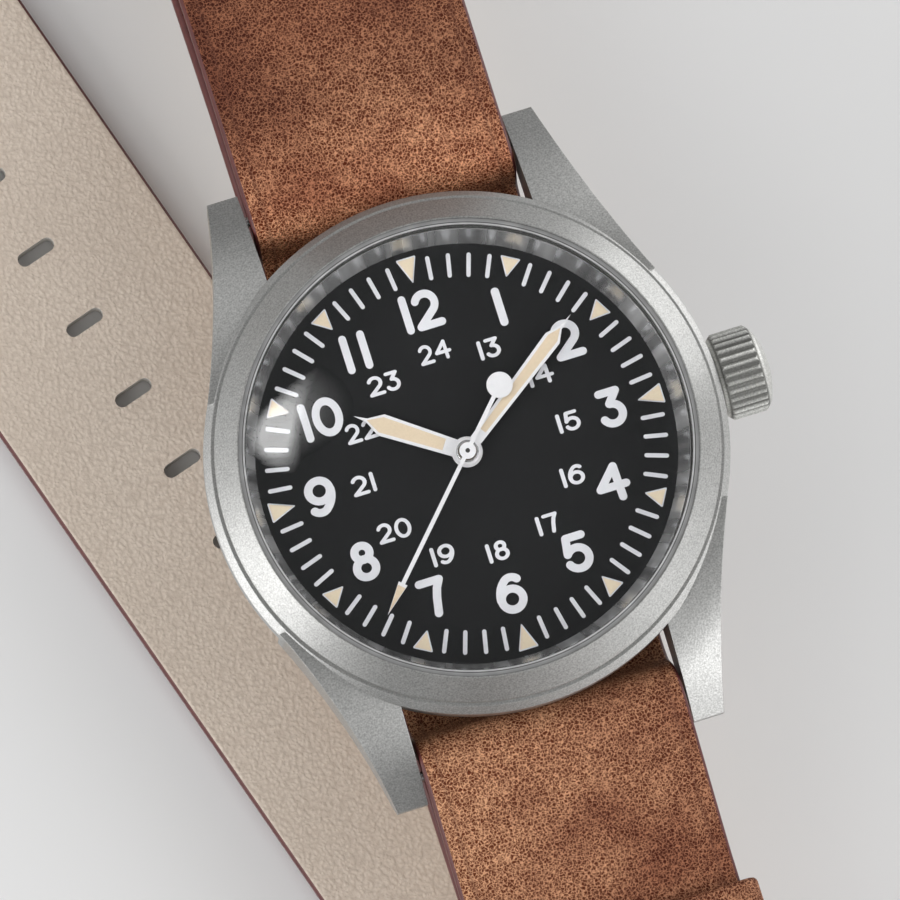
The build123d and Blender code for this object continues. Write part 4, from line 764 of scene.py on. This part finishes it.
# Painted reflection: soft light and dark streaks in the colour that point to the middle.
heading = vector_math("NORMALIZE", off_axis(place)[0])
polish_and_painted_streaks = add_noise(heading, 9.0, 2.0, 0.6)
gleam = stretch_range(polish_and_painted_streaks, 0.28, 0.72)
painted_reflection_streaks = mix_colours(gleam, shade(112, 112, 113), shade(228, 228, 228))
feed_inputs(surface, Base_Color=painted_reflection_streaks, Roughness=stretch_range(polish_and_painted_streaks, 0.3, 0.7, 0.2, 0.34))
print("crown radius in mm:", round(crown_reach / MM, 2))

# %% [markdown]
# The crystal sits in a ring. Its colour is painted in rings: a painted highlight where it meets
# the glass, a painted shadow beside it, then a satin band. Only the distance from the axis counts,
# so the colour is read from a ramp on that distance.

# %% Ring that holds the crystal
glass_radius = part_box("crystal")[1][0]
ring_width = 0.5 * MM
# Painted highlight and shadow: grey tones of the ring, from the glass outwards.
painted_light_rings = [
    (0.0, 90), (0.06, 90), (0.1, 250), (0.3, 250), (0.36, 110),
    (0.42, 110), (0.5, 205), (0.9, 190), (1.0, 110),
]
crystal_seat, tree, surface, place = start_material(
    "crystal_seat", shade(150, 150, 149), Metallic=0.85, Roughness=0.35
)
level, spread = off_axis(place)
across_ring = stretch_range(spread, glass_radius, glass_radius + ring_width)
ramp = add_node(tree, "ValToRGB", Fac=across_ring)
for stop, tone in painted_light_rings[1:-1]:
    ramp.color_ramp.elements.new(stop)
for element, (stop, tone) in zip(ramp.color_ramp.elements, painted_light_rings):
    element.position = stop
    element.color = shade(tone, tone, tone)
streaks = add_noise(vector_math("NORMALIZE", level), 14.0, 3.0)
painted_rings_and_satin = mix_colours(0.2, ramp.outputs[0], streaks, "MULTIPLY")
feed_inputs(surface, Base_Color=painted_rings_and_satin, Roughness=stretch_range(streaks, 0.3, 0.7, 0.3, 0.42))
print("crystal radius in mm:", round(glass_radius / MM, 2))

# %% [markdown]
# ## Stone, rubber, paint and glass
#
# The rest of the finishes are not metal: synthetic ruby in the bearings, black rubber in the
# gaskets, matte black paint on the dial, white paint on the hands, and cream luminous paint.
# Each gets a little unevenness, because a perfectly even colour looks like plastic. The crystal
# is clear glass with a faint smear, and light that would cast its shadow goes straight through.

# %% Painted and moulded finishes
dial_black = painted(
    "dial_black", shade(27, 28, 29), shade(21, 22, 23), 0.6, 5000.0, Specular_IOR_Level=0.1
)
print_white = painted("print_white", shade(226, 227, 231), shade(216, 217, 222), 0.5, 3000.0)
hand_white = painted("hand_white", shade(228, 228, 230), shade(216, 216, 218), 0.35, 2500.0)
lume_cream = painted("lume_cream", shade(222, 204, 178), shade(206, 188, 160), 0.8, 6000.0, 0.3)
# Painted light: the dial's lume is a lighter copy of the cream lume on the hands.
lume_dial_painted_light = painted("lume_dial_painted_light", shade(242, 228, 200), shade(230, 212, 184), 0.8, 6000.0, 0.3)
# Painted shade: a dark dot for the hole at the middle of the seconds hub.
hub_hole_shade = painted("hub_hole_shade", shade(44, 42, 40), shade(28, 26, 24), 0.4)
gasket_black = painted("gasket_black", shade(28, 28, 28), shade(18, 18, 18), 0.6)
jewel_ruby = painted("jewel_ruby", shade(170, 20, 50), shade(130, 10, 36), 0.08)
print("materials so far:", len(bpy.data.materials))

# %% Crystal
crystal_glass, tree, surface, place = start_material(
    "crystal_glass", (1, 1, 1, 1), Roughness=0.0, IOR=1.28, Transmission_Weight=1.0
)
smear = stretch_range(add_noise(place, 90.0), 0.4, 0.7, 0.0, 0.015)
feed_inputs(surface, Roughness=smear)
shadow_ray = add_node(tree, "LightPath").outputs["Is Shadow Ray"]
clear = add_node(tree, "BsdfTransparent")
either = combine("MixShader", (shadow_ray, surface.outputs[0], clear.outputs[0]))
feed_inputs(tree.nodes["Material Output"], Surface=either.outputs[0])

# %% [markdown]
# Each solid keeps the mesh that the frame gave it. Its finish goes on the slot of the object and
# not on the mesh, so the frame's own data stays as it was. One table says which solids are made
# of what, as a parts list does.

# %% Give every solid its finish
finishes = {
    case_blasted: "mid_case case_back",
    bezel_blasted_shaded: "bezel",
    crown_blasted_lit: "crown",
    buckle_blasted: "buckle_frame buckle_tongue buckle_bar",
    rehaut_polished: "rehaut_ring",
    plain_steel: "crown_tube winding_stem winding_pinion crown_wheel ratchet_wheel barrel_arbor "
    "click escape_wheel pallet_fork cannon_pinion mainspring spring_bar_lower spring_bar_upper "
    "spring_pin_lower_left spring_pin_lower_right spring_pin_upper_left spring_pin_upper_right",
    wheel_brass: "barrel centre_wheel third_wheel fourth_wheel minute_wheel hour_wheel balance_wheel "
    "movement_ring",
    plate_nickel: "mainplate barrel_bridge train_bridge balance_cock",
    screw_blue: "movement_screws hairspring",
    jewel_ruby: "jewels",
    gasket_black: "case_back_gasket crown_gasket",
    crystal_seat: "crystal_gasket",
    dial_black: "dial",
    hand_white: "hour_hand minute_hand seconds_hand",
    lume_cream: "hour_lume minute_lume",
    crystal_glass: "crystal",
}
for finish, names in finishes.items():
    for name in names.split():
        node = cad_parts[name]
        if not node.material_slots:
            node.data.materials.append(None)
        for entry in node.material_slots:
            entry.link = "OBJECT"
            entry.material = finish
dressed = {name for names in finishes.values() for name in names.split()}
print("solids with a finish:", len(dressed), "left:", sorted(set(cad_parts) - dressed))

# %% [markdown]
# ## Printing on the dial
#
# The numerals are drawn with a pen of one width, as an engraver does: straight strokes and arcs
# with round ends. A short edge, as long as the pen is wide, is extruded along the strokes and
# turned round the arcs. Each numeral is described in a box one unit high, so the large hours and
# the small 24-hour ring share the same shapes.
#
# A digit is its width and its strokes. A stroke starts at x, y with a heading in degrees, and
# then lists its moves. A move is a length, or the radius of an arc and its degrees, and a
# negative radius turns to the right. Zero is an oval of its own.

# %% Pen strokes of the digits
oval = ("oval", 0.36, 0.5)
strokes = {
    "0": (0.72, [(0.0, 0.5, 90, [oval])]),
    "1": (0.0, [(0.0, 0.0, 90, [1.0])]),
    "2": (0.68, [(0.03, 0.82, 65, [(-0.315, 205), 0.69]), (0.0, 0.0, 0, [0.68])]),
    "3": (0.6, [(0.03, 1.0, 0, [0.52]), (0.55, 1.0, -128, [0.47]), (0.27, 0.62, 0, [(-0.31, 245)])]),
    "4": (0.8, [(0.56, 1.0, -132.3, [0.83]), (0.0, 0.385, 0, [0.80]), (0.56, 1.0, -88.3, [1.0])]),
    "5": (0.62, [(0.10, 1.0, 0, [0.48]), (0.10, 1.0, -98, [0.5]), (0.03, 0.5, 57, [(-0.33, 302)])]),
    "6": (0.65, [(0.625, 0.90, 128, [(0.26, 92), (0.75, 50)]), (0.65, 0.325, 90, [(0.325, 360)])]),
    "7": (0.62, [(0.0, 1.0, 0, [0.62]), (0.62, 1.0, -124, [(1.35, 24), 0.5])]),
    "8": (0.6, [(0.525, 0.775, 90, [(0.225, 360)]), (0.585, 0.285, 90, [(0.285, 360)])]),
    "9": (0.65, [(0.025, 0.10, -52, [(0.26, 92), (0.75, 50)]), (0.65, 0.675, 90, [(0.325, 360)])]),
}
print_height = 8.5 + 0.02  # the dial's face and a little above it
dot_lift = 0.0004  # keeps the round ends from lying exactly in the stroke
stroke_lift = 0.0015
pen_step = radians(12)
z_axis = Vector((0, 0, 1))


def heading_way(heading):
    """The direction of a heading in degrees, anticlockwise from +X."""
    return Vector((cos(radians(heading)), sin(radians(heading)), 0))


def draw_stroke(mesh, x, y, heading, moves, pen, to_dial):
    """Extrudes a pen-wide edge along the moves and closes both ends with a round dot."""
    here = Vector((x, y, 0))
    reach = heading_way(heading + 90) * pen / 2
    everything = [mesh.verts.new(here + reach), mesh.verts.new(here - reach)]
    rim = [mesh.edges.new(everything)]
    ends = [here.copy()]
    for move in moves:
        if isinstance(move, tuple):
            radius, sweep = move
            centre = here + heading_way(heading + 90) * radius
            angle = radians(sweep) * (1 if radius > 0 else -1)
            path = bend_of(centre, z_axis, angle, step=pen_step)
            heading += degrees(angle)
        else:
            path = [Matrix.Translation(heading_way(heading) * move)]
        for matrix in path:
            fresh, rim = carry_section(mesh, rim, matrix)
            everything += fresh
            here = matrix @ here
    ends.append(here.copy())
    for lift, spot in enumerate(ends, start=1):
        there = Matrix.Translation(spot + z_axis * dot_lift * lift)
        dot = bmesh.ops.create_circle(mesh, cap_ends=True, segments=16, radius=pen / 2, matrix=there)
        everything += dot["verts"]
    bmesh.ops.transform(mesh, matrix=to_dial, verts=everything)


def turn_round(mesh, profile, steps):
    """Turns a profile, given as vertices and edges, once round the Z axis."""
    bmesh.ops.spin(
        mesh, geom=profile, cent=(0, 0, 0), axis=z_axis, angle=2 * pi, steps=steps, use_merge=True
    )


def draw_oval(mesh, half_width, half_height, pen, to_dial):
    """A ring of the pen's width: a circle turned round once, then made narrower."""
    middle = Vector((half_width, half_height, 0))
    rim = [mesh.verts.new((half_height + side * pen / 2, 0, 0)) for side in (1, -1)]
    before = set(mesh.verts) - set(rim)
    turn_round(mesh, [*rim, mesh.edges.new(rim)], 32)
    fresh = [corner for corner in mesh.verts if corner not in before]
    for corner in fresh:
        out = corner.co.normalized()
        pen_part = corner.co.length - half_height
        narrowed = Vector((out.x * half_width, out.y * half_height, 0))
        corner.co = narrowed + out * pen_part + middle
    bmesh.ops.transform(mesh, matrix=to_dial, verts=fresh)


def draw_number(mesh, text, centre, height, pen, widen):
    """A numeral of one or two digits with its middle at a place on the dial."""
    size = height - pen
    gap = 0.59 if text == "11" else 0.36 if "1" in text else 0.3
    widths = [strokes[digit][0] for digit in text]
    left = -(sum(widths) + gap * (len(text) - 1)) / 2
    in_place = Matrix.Translation((*centre, print_height))
    in_place = in_place @ Matrix.Diagonal((size * widen, size, size, 1))
    for digit, width in zip(text, widths):
        to_dial = in_place @ Matrix.Translation((left, -0.5, 0))
        for number, (x, y, heading, moves) in enumerate(strokes[digit][1]):
            if moves[0] == oval:
                draw_oval(mesh, *oval[1:], pen / size, to_dial)
            else:
                lifted = Matrix.Translation((0, 0, stroke_lift * number)) @ to_dial
                draw_stroke(mesh, x, y, heading, moves, pen / size, lifted)
        left += width + gap


# %% Numerals
hour_places = {
    "12": (-0.01, 10.82), "1": (5.45, 9.43), "2": (9.41, 5.75), "3": (10.98, 0.04),
    "4": (9.36, -5.2), "5": (5.39, -9.23), "6": (-0.05, -10.68), "7": (-5.44, -9.28),
    "8": (-9.41, -5.33), "9": (-11.01, 0.09), "10": (-9.24, 5.46), "11": (-5.47, 9.33),
}
day_places = {
    "24": (-0.02, 7.65), "13": (3.83, 6.76), "14": (6.79, 3.81), "15": (7.68, 0.0),
    "16": (6.79, -3.84), "17": (4.03, -6.66), "18": (-0.01, -7.48), "19": (-3.88, -6.55),
    "20": (-6.7, -3.83), "21": (-7.83, 0.0), "22": (-6.79, 3.73), "23": (-4.21, 6.56),
}
hour_size = {"height": 2.9, "pen": 0.58}
day_size = {"height": 1.45, "pen": 0.25}
hour_widths = {"10": 0.98, "11": 0.98, "12": 0.98}
day_widths = {"24": 1.0, "22": 1.06, "23": 1.13, "20": 1.1}
numerals = bmesh.new()
for text, centre in hour_places.items():
    draw_number(numerals, text, centre, **hour_size, widen=hour_widths.get(text, 1.04))
for text, centre in day_places.items():
    draw_number(numerals, text, centre, **day_size, widen=day_widths.get(text, 1.16))
finish_piece(numerals, "dial_numerals", "watch", [print_white])

# %% [markdown]
# The minute track is 48 round-ended bars, with a luminous triangle at each hour that points to
# the middle. The triangle is a three-sided circle with its corners rounded; insetting it leaves
# the thin white border. The ones at 12, 3, 6 and 9 are longer.

# %% Minute track
bar_start, bar_length, bar_width = 12.94, 1.38, 0.31
track = bmesh.new()
for minute in range(60):
    if minute % 5:
        turn = Matrix.Rotation(radians(90 - 6 * minute), 4, "Z")
        to_dial = Matrix.Translation((0, 0, print_height)) @ turn
        draw_stroke(track, bar_start, 0, 0, [bar_length], bar_width, to_dial)
finish_piece(track, "dial_track", "watch", [print_white])

# %% Hour triangles
triangle_half = 0.76
triangle_rounding = 0.13
triangle_border = 0.09


def draw_triangle(mesh, corners, height):
    """A flat triangle at a height. Returns its three vertices."""
    shape = bmesh.ops.create_circle(mesh, cap_ends=True, segments=3, radius=1)["verts"]
    for corner, (x, y) in zip(shape[0].link_faces[0].verts, corners):
        corner.co = Vector((x, y, height))
    return shape


triangles = bmesh.new()
for hour in range(12):
    inner, outer = (12.85, 14.7) if hour % 3 == 0 else (13.05, 14.5)
    earlier = set(triangles.verts)
    corners = [(inner, 0), (outer, triangle_half), (outer, -triangle_half)]
    bmesh.ops.bevel(
        triangles, geom=draw_triangle(triangles, corners, print_height), affect="VERTICES",
        offset=triangle_rounding, offset_type="OFFSET", segments=3, profile=0.5, material=-1,
    )
    around = {face for corner in set(triangles.verts) - earlier for face in corner.link_faces}
    filled = max(around, key=lambda face: face.calc_area())
    bmesh.ops.inset_region(
        triangles, faces=[filled], thickness=triangle_border, use_even_offset=True, use_boundary=True
    )
    filled.material_index = 1
    fresh = [corner for corner in triangles.verts if corner not in earlier]
    turn = Matrix.Rotation(radians(90 - 30 * hour), 3, "Z")
    bmesh.ops.rotate(triangles, cent=(0, 0, 0), matrix=turn, verts=fresh)
finish_piece(triangles, "hour_triangles", "watch", [print_white, lume_dial_painted_light])

# %% [markdown]
# ## Small things on the hands
#
# The solids of the hands are plain. On the real watch a polished steel ring shows between the
# hubs, and the arrow on the seconds hand is filled with the same cream paint as the other hands.
# A dark dot on the seconds hub is a painted shade for the hole at its middle. Each is a turned
# profile or a thin plate that lies on the hand it belongs to, so its height is read from that hand.


# %% Heights of the hands
def top_of(node, nearest, farthest):
    """The height of a solid in mm, at some distance from the axis of the hands."""
    places = [corner.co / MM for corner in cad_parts[node].data.vertices]
    return max(place.z for place in places if nearest <= place.xy.length <= farthest)


minute_top = top_of("minute_hand", 0.0, 1.3)
seconds_top = top_of("seconds_hand", 0.0, 0.8)
arrow_top = top_of("seconds_hand", 9.0, 15.0)
tops = {"minute hub": minute_top, "seconds hub": seconds_top, "arrow": arrow_top}
print("tops in mm:", {title: round(top, 2) for title, top in tops.items()})

# %% Ring, dark dot and cream arrow
hub_radius, wire_radius = 0.71, 0.11
ring = bmesh.new()
upright = Matrix.Translation((hub_radius, 0, minute_top)) @ Matrix.Rotation(pi / 2, 4, "X")
bmesh.ops.create_circle(ring, segments=12, radius=wire_radius, matrix=upright)
turn_round(ring, ring.verts[:] + ring.edges[:], 40)
for face in ring.faces:
    face.smooth = True
finish_piece(ring, "hub_ring", "minute_hand", [plain_steel])

hole_dot_profile = [(0.17, 0.0), (0.1, 0.02), (0.0, 0.025)]  # radius and height of a low dome
hole_dot = bmesh.new()
profile = [hole_dot.verts.new((reach, 0, seconds_top + rise)) for reach, rise in hole_dot_profile]
edges = [hole_dot.edges.new(pair) for pair in zip(profile, profile[1:])]
turn_round(hole_dot, profile + edges, 20)
bmesh.ops.remove_doubles(hole_dot, verts=hole_dot.verts, dist=0.001)
finish_piece(hole_dot, "hub_hole_dot", "seconds_hand", [hub_hole_shade])

arrow_corners = [(12.95, 0), (10.95, 0.3), (10.95, -0.3)]
arrow_heading = radians(90 - 223.2)
arrow = bmesh.new()
draw_triangle(arrow, arrow_corners, arrow_top + 0.01)
turn = Matrix.Rotation(arrow_heading, 3, "Z")
bmesh.ops.rotate(arrow, cent=(0, 0, 0), matrix=turn, verts=arrow.verts)
finish_piece(arrow, "seconds_lume", "seconds_hand", [lume_cream])

# %% [markdown]
# The edge of the crystal is ground to a narrow bevel, which is the bright line round the dial.
# Two modifiers make it on the solid: Weld joins its loose triangles, Bevel cuts the edge.

# %% Bevel the crystal's edge
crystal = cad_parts["crystal"]
crystal.modifiers.new("weld", "WELD").merge_threshold = 0.002 * MM
ground = crystal.modifiers.new("ground edge", "BEVEL")
ground.width = 0.12 * MM
ground.segments = 2
ground.limit_method = "ANGLE"
ground.angle_limit = radians(60)
print("crystal modifiers:", [modifier.name for modifier in crystal.modifiers])

# %% [markdown]
# ## Floor, light and world
#
# The watch lies on a plain pale table. Two large soft lamps do most of the work: one low on the
# left, which makes the left of the case glow, and one low on the right. The top stays darker, so
# the bezel has shape. The world fills in the rest.

# %% Floor
floor_paint = start_material(
    "floor_paint", (0.84, 0.84, 0.84, 1), Roughness=0.9, Specular_IOR_Level=0.1
)[0]
floor_mesh = bmesh.new()
bmesh.ops.create_grid(floor_mesh, x_segments=1, y_segments=1, size=3.0 / MM)
bmesh.ops.translate(floor_mesh, vec=(0, 0, cad_box[0][2] / MM), verts=floor_mesh.verts)
floor = place_mesh("floor", floor_mesh, [floor_paint])


# %% Lamps
def soft_lamp(name, across, up, out, size, power):
    """A square lamp placed by picture directions, in millimetres, facing the watch."""
    data = bpy.data.lights.new(name, "AREA")
    data.shape = "SQUARE"
    data.size = size * MM
    data.energy = power
    lamp = bpy.data.objects.new(name, data)
    bpy.context.scene.collection.objects.link(lamp)
    spot = turned_across * across + turned_up * up + Vector((0, 0, out))
    lamp.location = spot * MM
    lamp.rotation_euler = (-spot).to_track_quat("-Z", "Y").to_euler()
    print(name, "is", round(spot.length), "mm away")


soft_lamp("lamp_left", -540, -300, 200, 400, 1.85)
soft_lamp("lamp_right", 560, -220, 260, 400, 1.25)

# %% [markdown]
# The world is the room. It gets brighter from the horizon upwards, but the ceiling straight above
# is dark, so the crystal mirrors little and the dial stays black. The walls beyond 12 and 6
# o'clock are dark too, which gives the steel its shadows. Three soft glows stand for the studio's
# reflectors. Each is a round spot on the sky, given by a direction in the picture.

# %% World
world = bpy.data.worlds.new("studio")
world.use_nodes = True
tree = world.node_tree
heading = add_node(tree, "TexCoord").outputs["Generated"]


def picture_direction(degrees_round, degrees_up):
    """A direction by its angle in the picture, from the right anticlockwise, and its height."""
    level = turned_across * cos(radians(degrees_round)) + turned_up * sin(radians(degrees_round))
    return level * cos(radians(degrees_up)) + Vector((0, 0, sin(radians(degrees_up))))


def sky_spot(direction, inner, outer, strength):
    """A round spot on the sky, full within inner degrees and gone at outer degrees."""
    towards = vector_math("DOT_PRODUCT", heading, tuple(direction))
    return stretch_range(towards, cos(radians(outer)), cos(radians(inner)), 0.0, strength)


upper_wall, lower_wall = picture_direction(107, 4), picture_direction(-97, 20)
shades = [(upper_wall, 12, 50, 0.85), (lower_wall, 8, 34, 0.9), (z_axis, 18, 42, 0.8)]
reflectors = [(-44, 12, 6, 26, 0.75), (34, 6, 6, 26, 1.2), (176, 6, 6, 26, 0.5)]
climb = add_node(tree, "SeparateXYZ", Vector=heading).outputs[2]
glow = stretch_range(climb, 0.0, 0.75, 0.22, 1.24)
for spot in shades:
    glow = do_math("MULTIPLY", glow, do_math("SUBTRACT", 1.0, sky_spot(*spot)))
for degrees_round, degrees_up, *spot in reflectors:
    direction = picture_direction(degrees_round, degrees_up)
    glow = do_math("ADD", glow, sky_spot(direction, *spot))
room = add_node(tree, "CombineXYZ", X=glow, Y=glow, Z=glow)
feed_inputs(tree.nodes["Background"], Color=room.outputs[0])
bpy.context.scene.world = world
bpy.context.scene.view_settings.view_transform = "Standard"
print("reflectors:", len(reflectors))

# %% [markdown]
# Two cards add what a photographer would. One lamp is mirrored by the crystal near 10 o'clock as a
# soft white patch. Its place follows from the mirror: the line from the camera to that spot on the
# glass goes on upwards at the same slope. Light linking lets only the crystal see that card.
#
# The second card stands on the table beyond 2 o'clock, outside the picture. It lifts the bezel,
# which leans so far out that it mirrors the table and not the sky. Both cards glow in the middle
# and fade to nothing at the border, and only gloss can see them.


# %% Glowing cards
def glow_card(name, finish, mesh, half_sizes, turn, centre, strength, falloff=1.0):
    """Turns a flat mesh of radius 1 into a card of that size, and places it."""
    shine = mesh.verts.layers.float.new("shine")
    for corner in mesh.verts:
        corner[shine] = 1.0 if corner.co.length < 0.75 else 0.0
    bmesh.ops.scale(mesh, vec=(*half_sizes, 1), verts=mesh.verts)
    bmesh.ops.rotate(mesh, cent=(0, 0, 0), matrix=turn, verts=mesh.verts)
    bmesh.ops.translate(mesh, vec=centre, verts=mesh.verts)
    material, tree, surface, _ = start_material(
        finish, (0, 0, 0, 1), Roughness=1.0, Specular_IOR_Level=0.0, Emission_Strength=strength
    )
    glowing = add_node(tree, "Attribute")
    glowing.attribute_name = "shine"
    share = do_math("POWER", glowing.outputs["Fac"], falloff)
    feed_inputs(surface, Emission_Color=mix_colours(share, (0, 0, 0, 1), (1, 1, 1, 1)))
    card = place_mesh(name, mesh, [material])
    for kind in ("camera", "diffuse", "transmission", "shadow"):
        setattr(card, "visible_" + kind, False)
    print(name, "centre in mm:", [round(value) for value in centre])
    return card


# %% Card mirrored by the crystal
glass_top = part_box("crystal")[1][2] / MM
card_centre = turned_across * -64 + turned_up * 34 + Vector((0, 0, glass_top + 220))
card_mesh = bmesh.new()
bmesh.ops.create_circle(card_mesh, cap_ends=True, segments=48, radius=1)
bmesh.ops.inset_region(card_mesh, faces=card_mesh.faces[:], thickness=0.5, use_boundary=True)
turn = Matrix.Rotation(-picture_turn, 3, "Z")
card = glow_card("glare_card", "card_light", card_mesh, (54, 16.5), turn, card_centre, 32.0, 1.4)
only_glass = bpy.data.collections.new("only_glass")
only_glass.objects.link(crystal)
card.light_linking.receiver_collection = only_glass

# %% Card that lifts the bezel
away = picture_direction(40, 0)
board_mesh = bmesh.new()
bmesh.ops.create_grid(board_mesh, x_segments=4, y_segments=4, size=1)
turn = (-away).to_track_quat("Z", "Y").to_matrix()
board_centre = away * 80 + Vector((0, 0, 14))
glow_card("bezel_card", "board_light", board_mesh, (40, 24), turn, board_centre, 3.0)
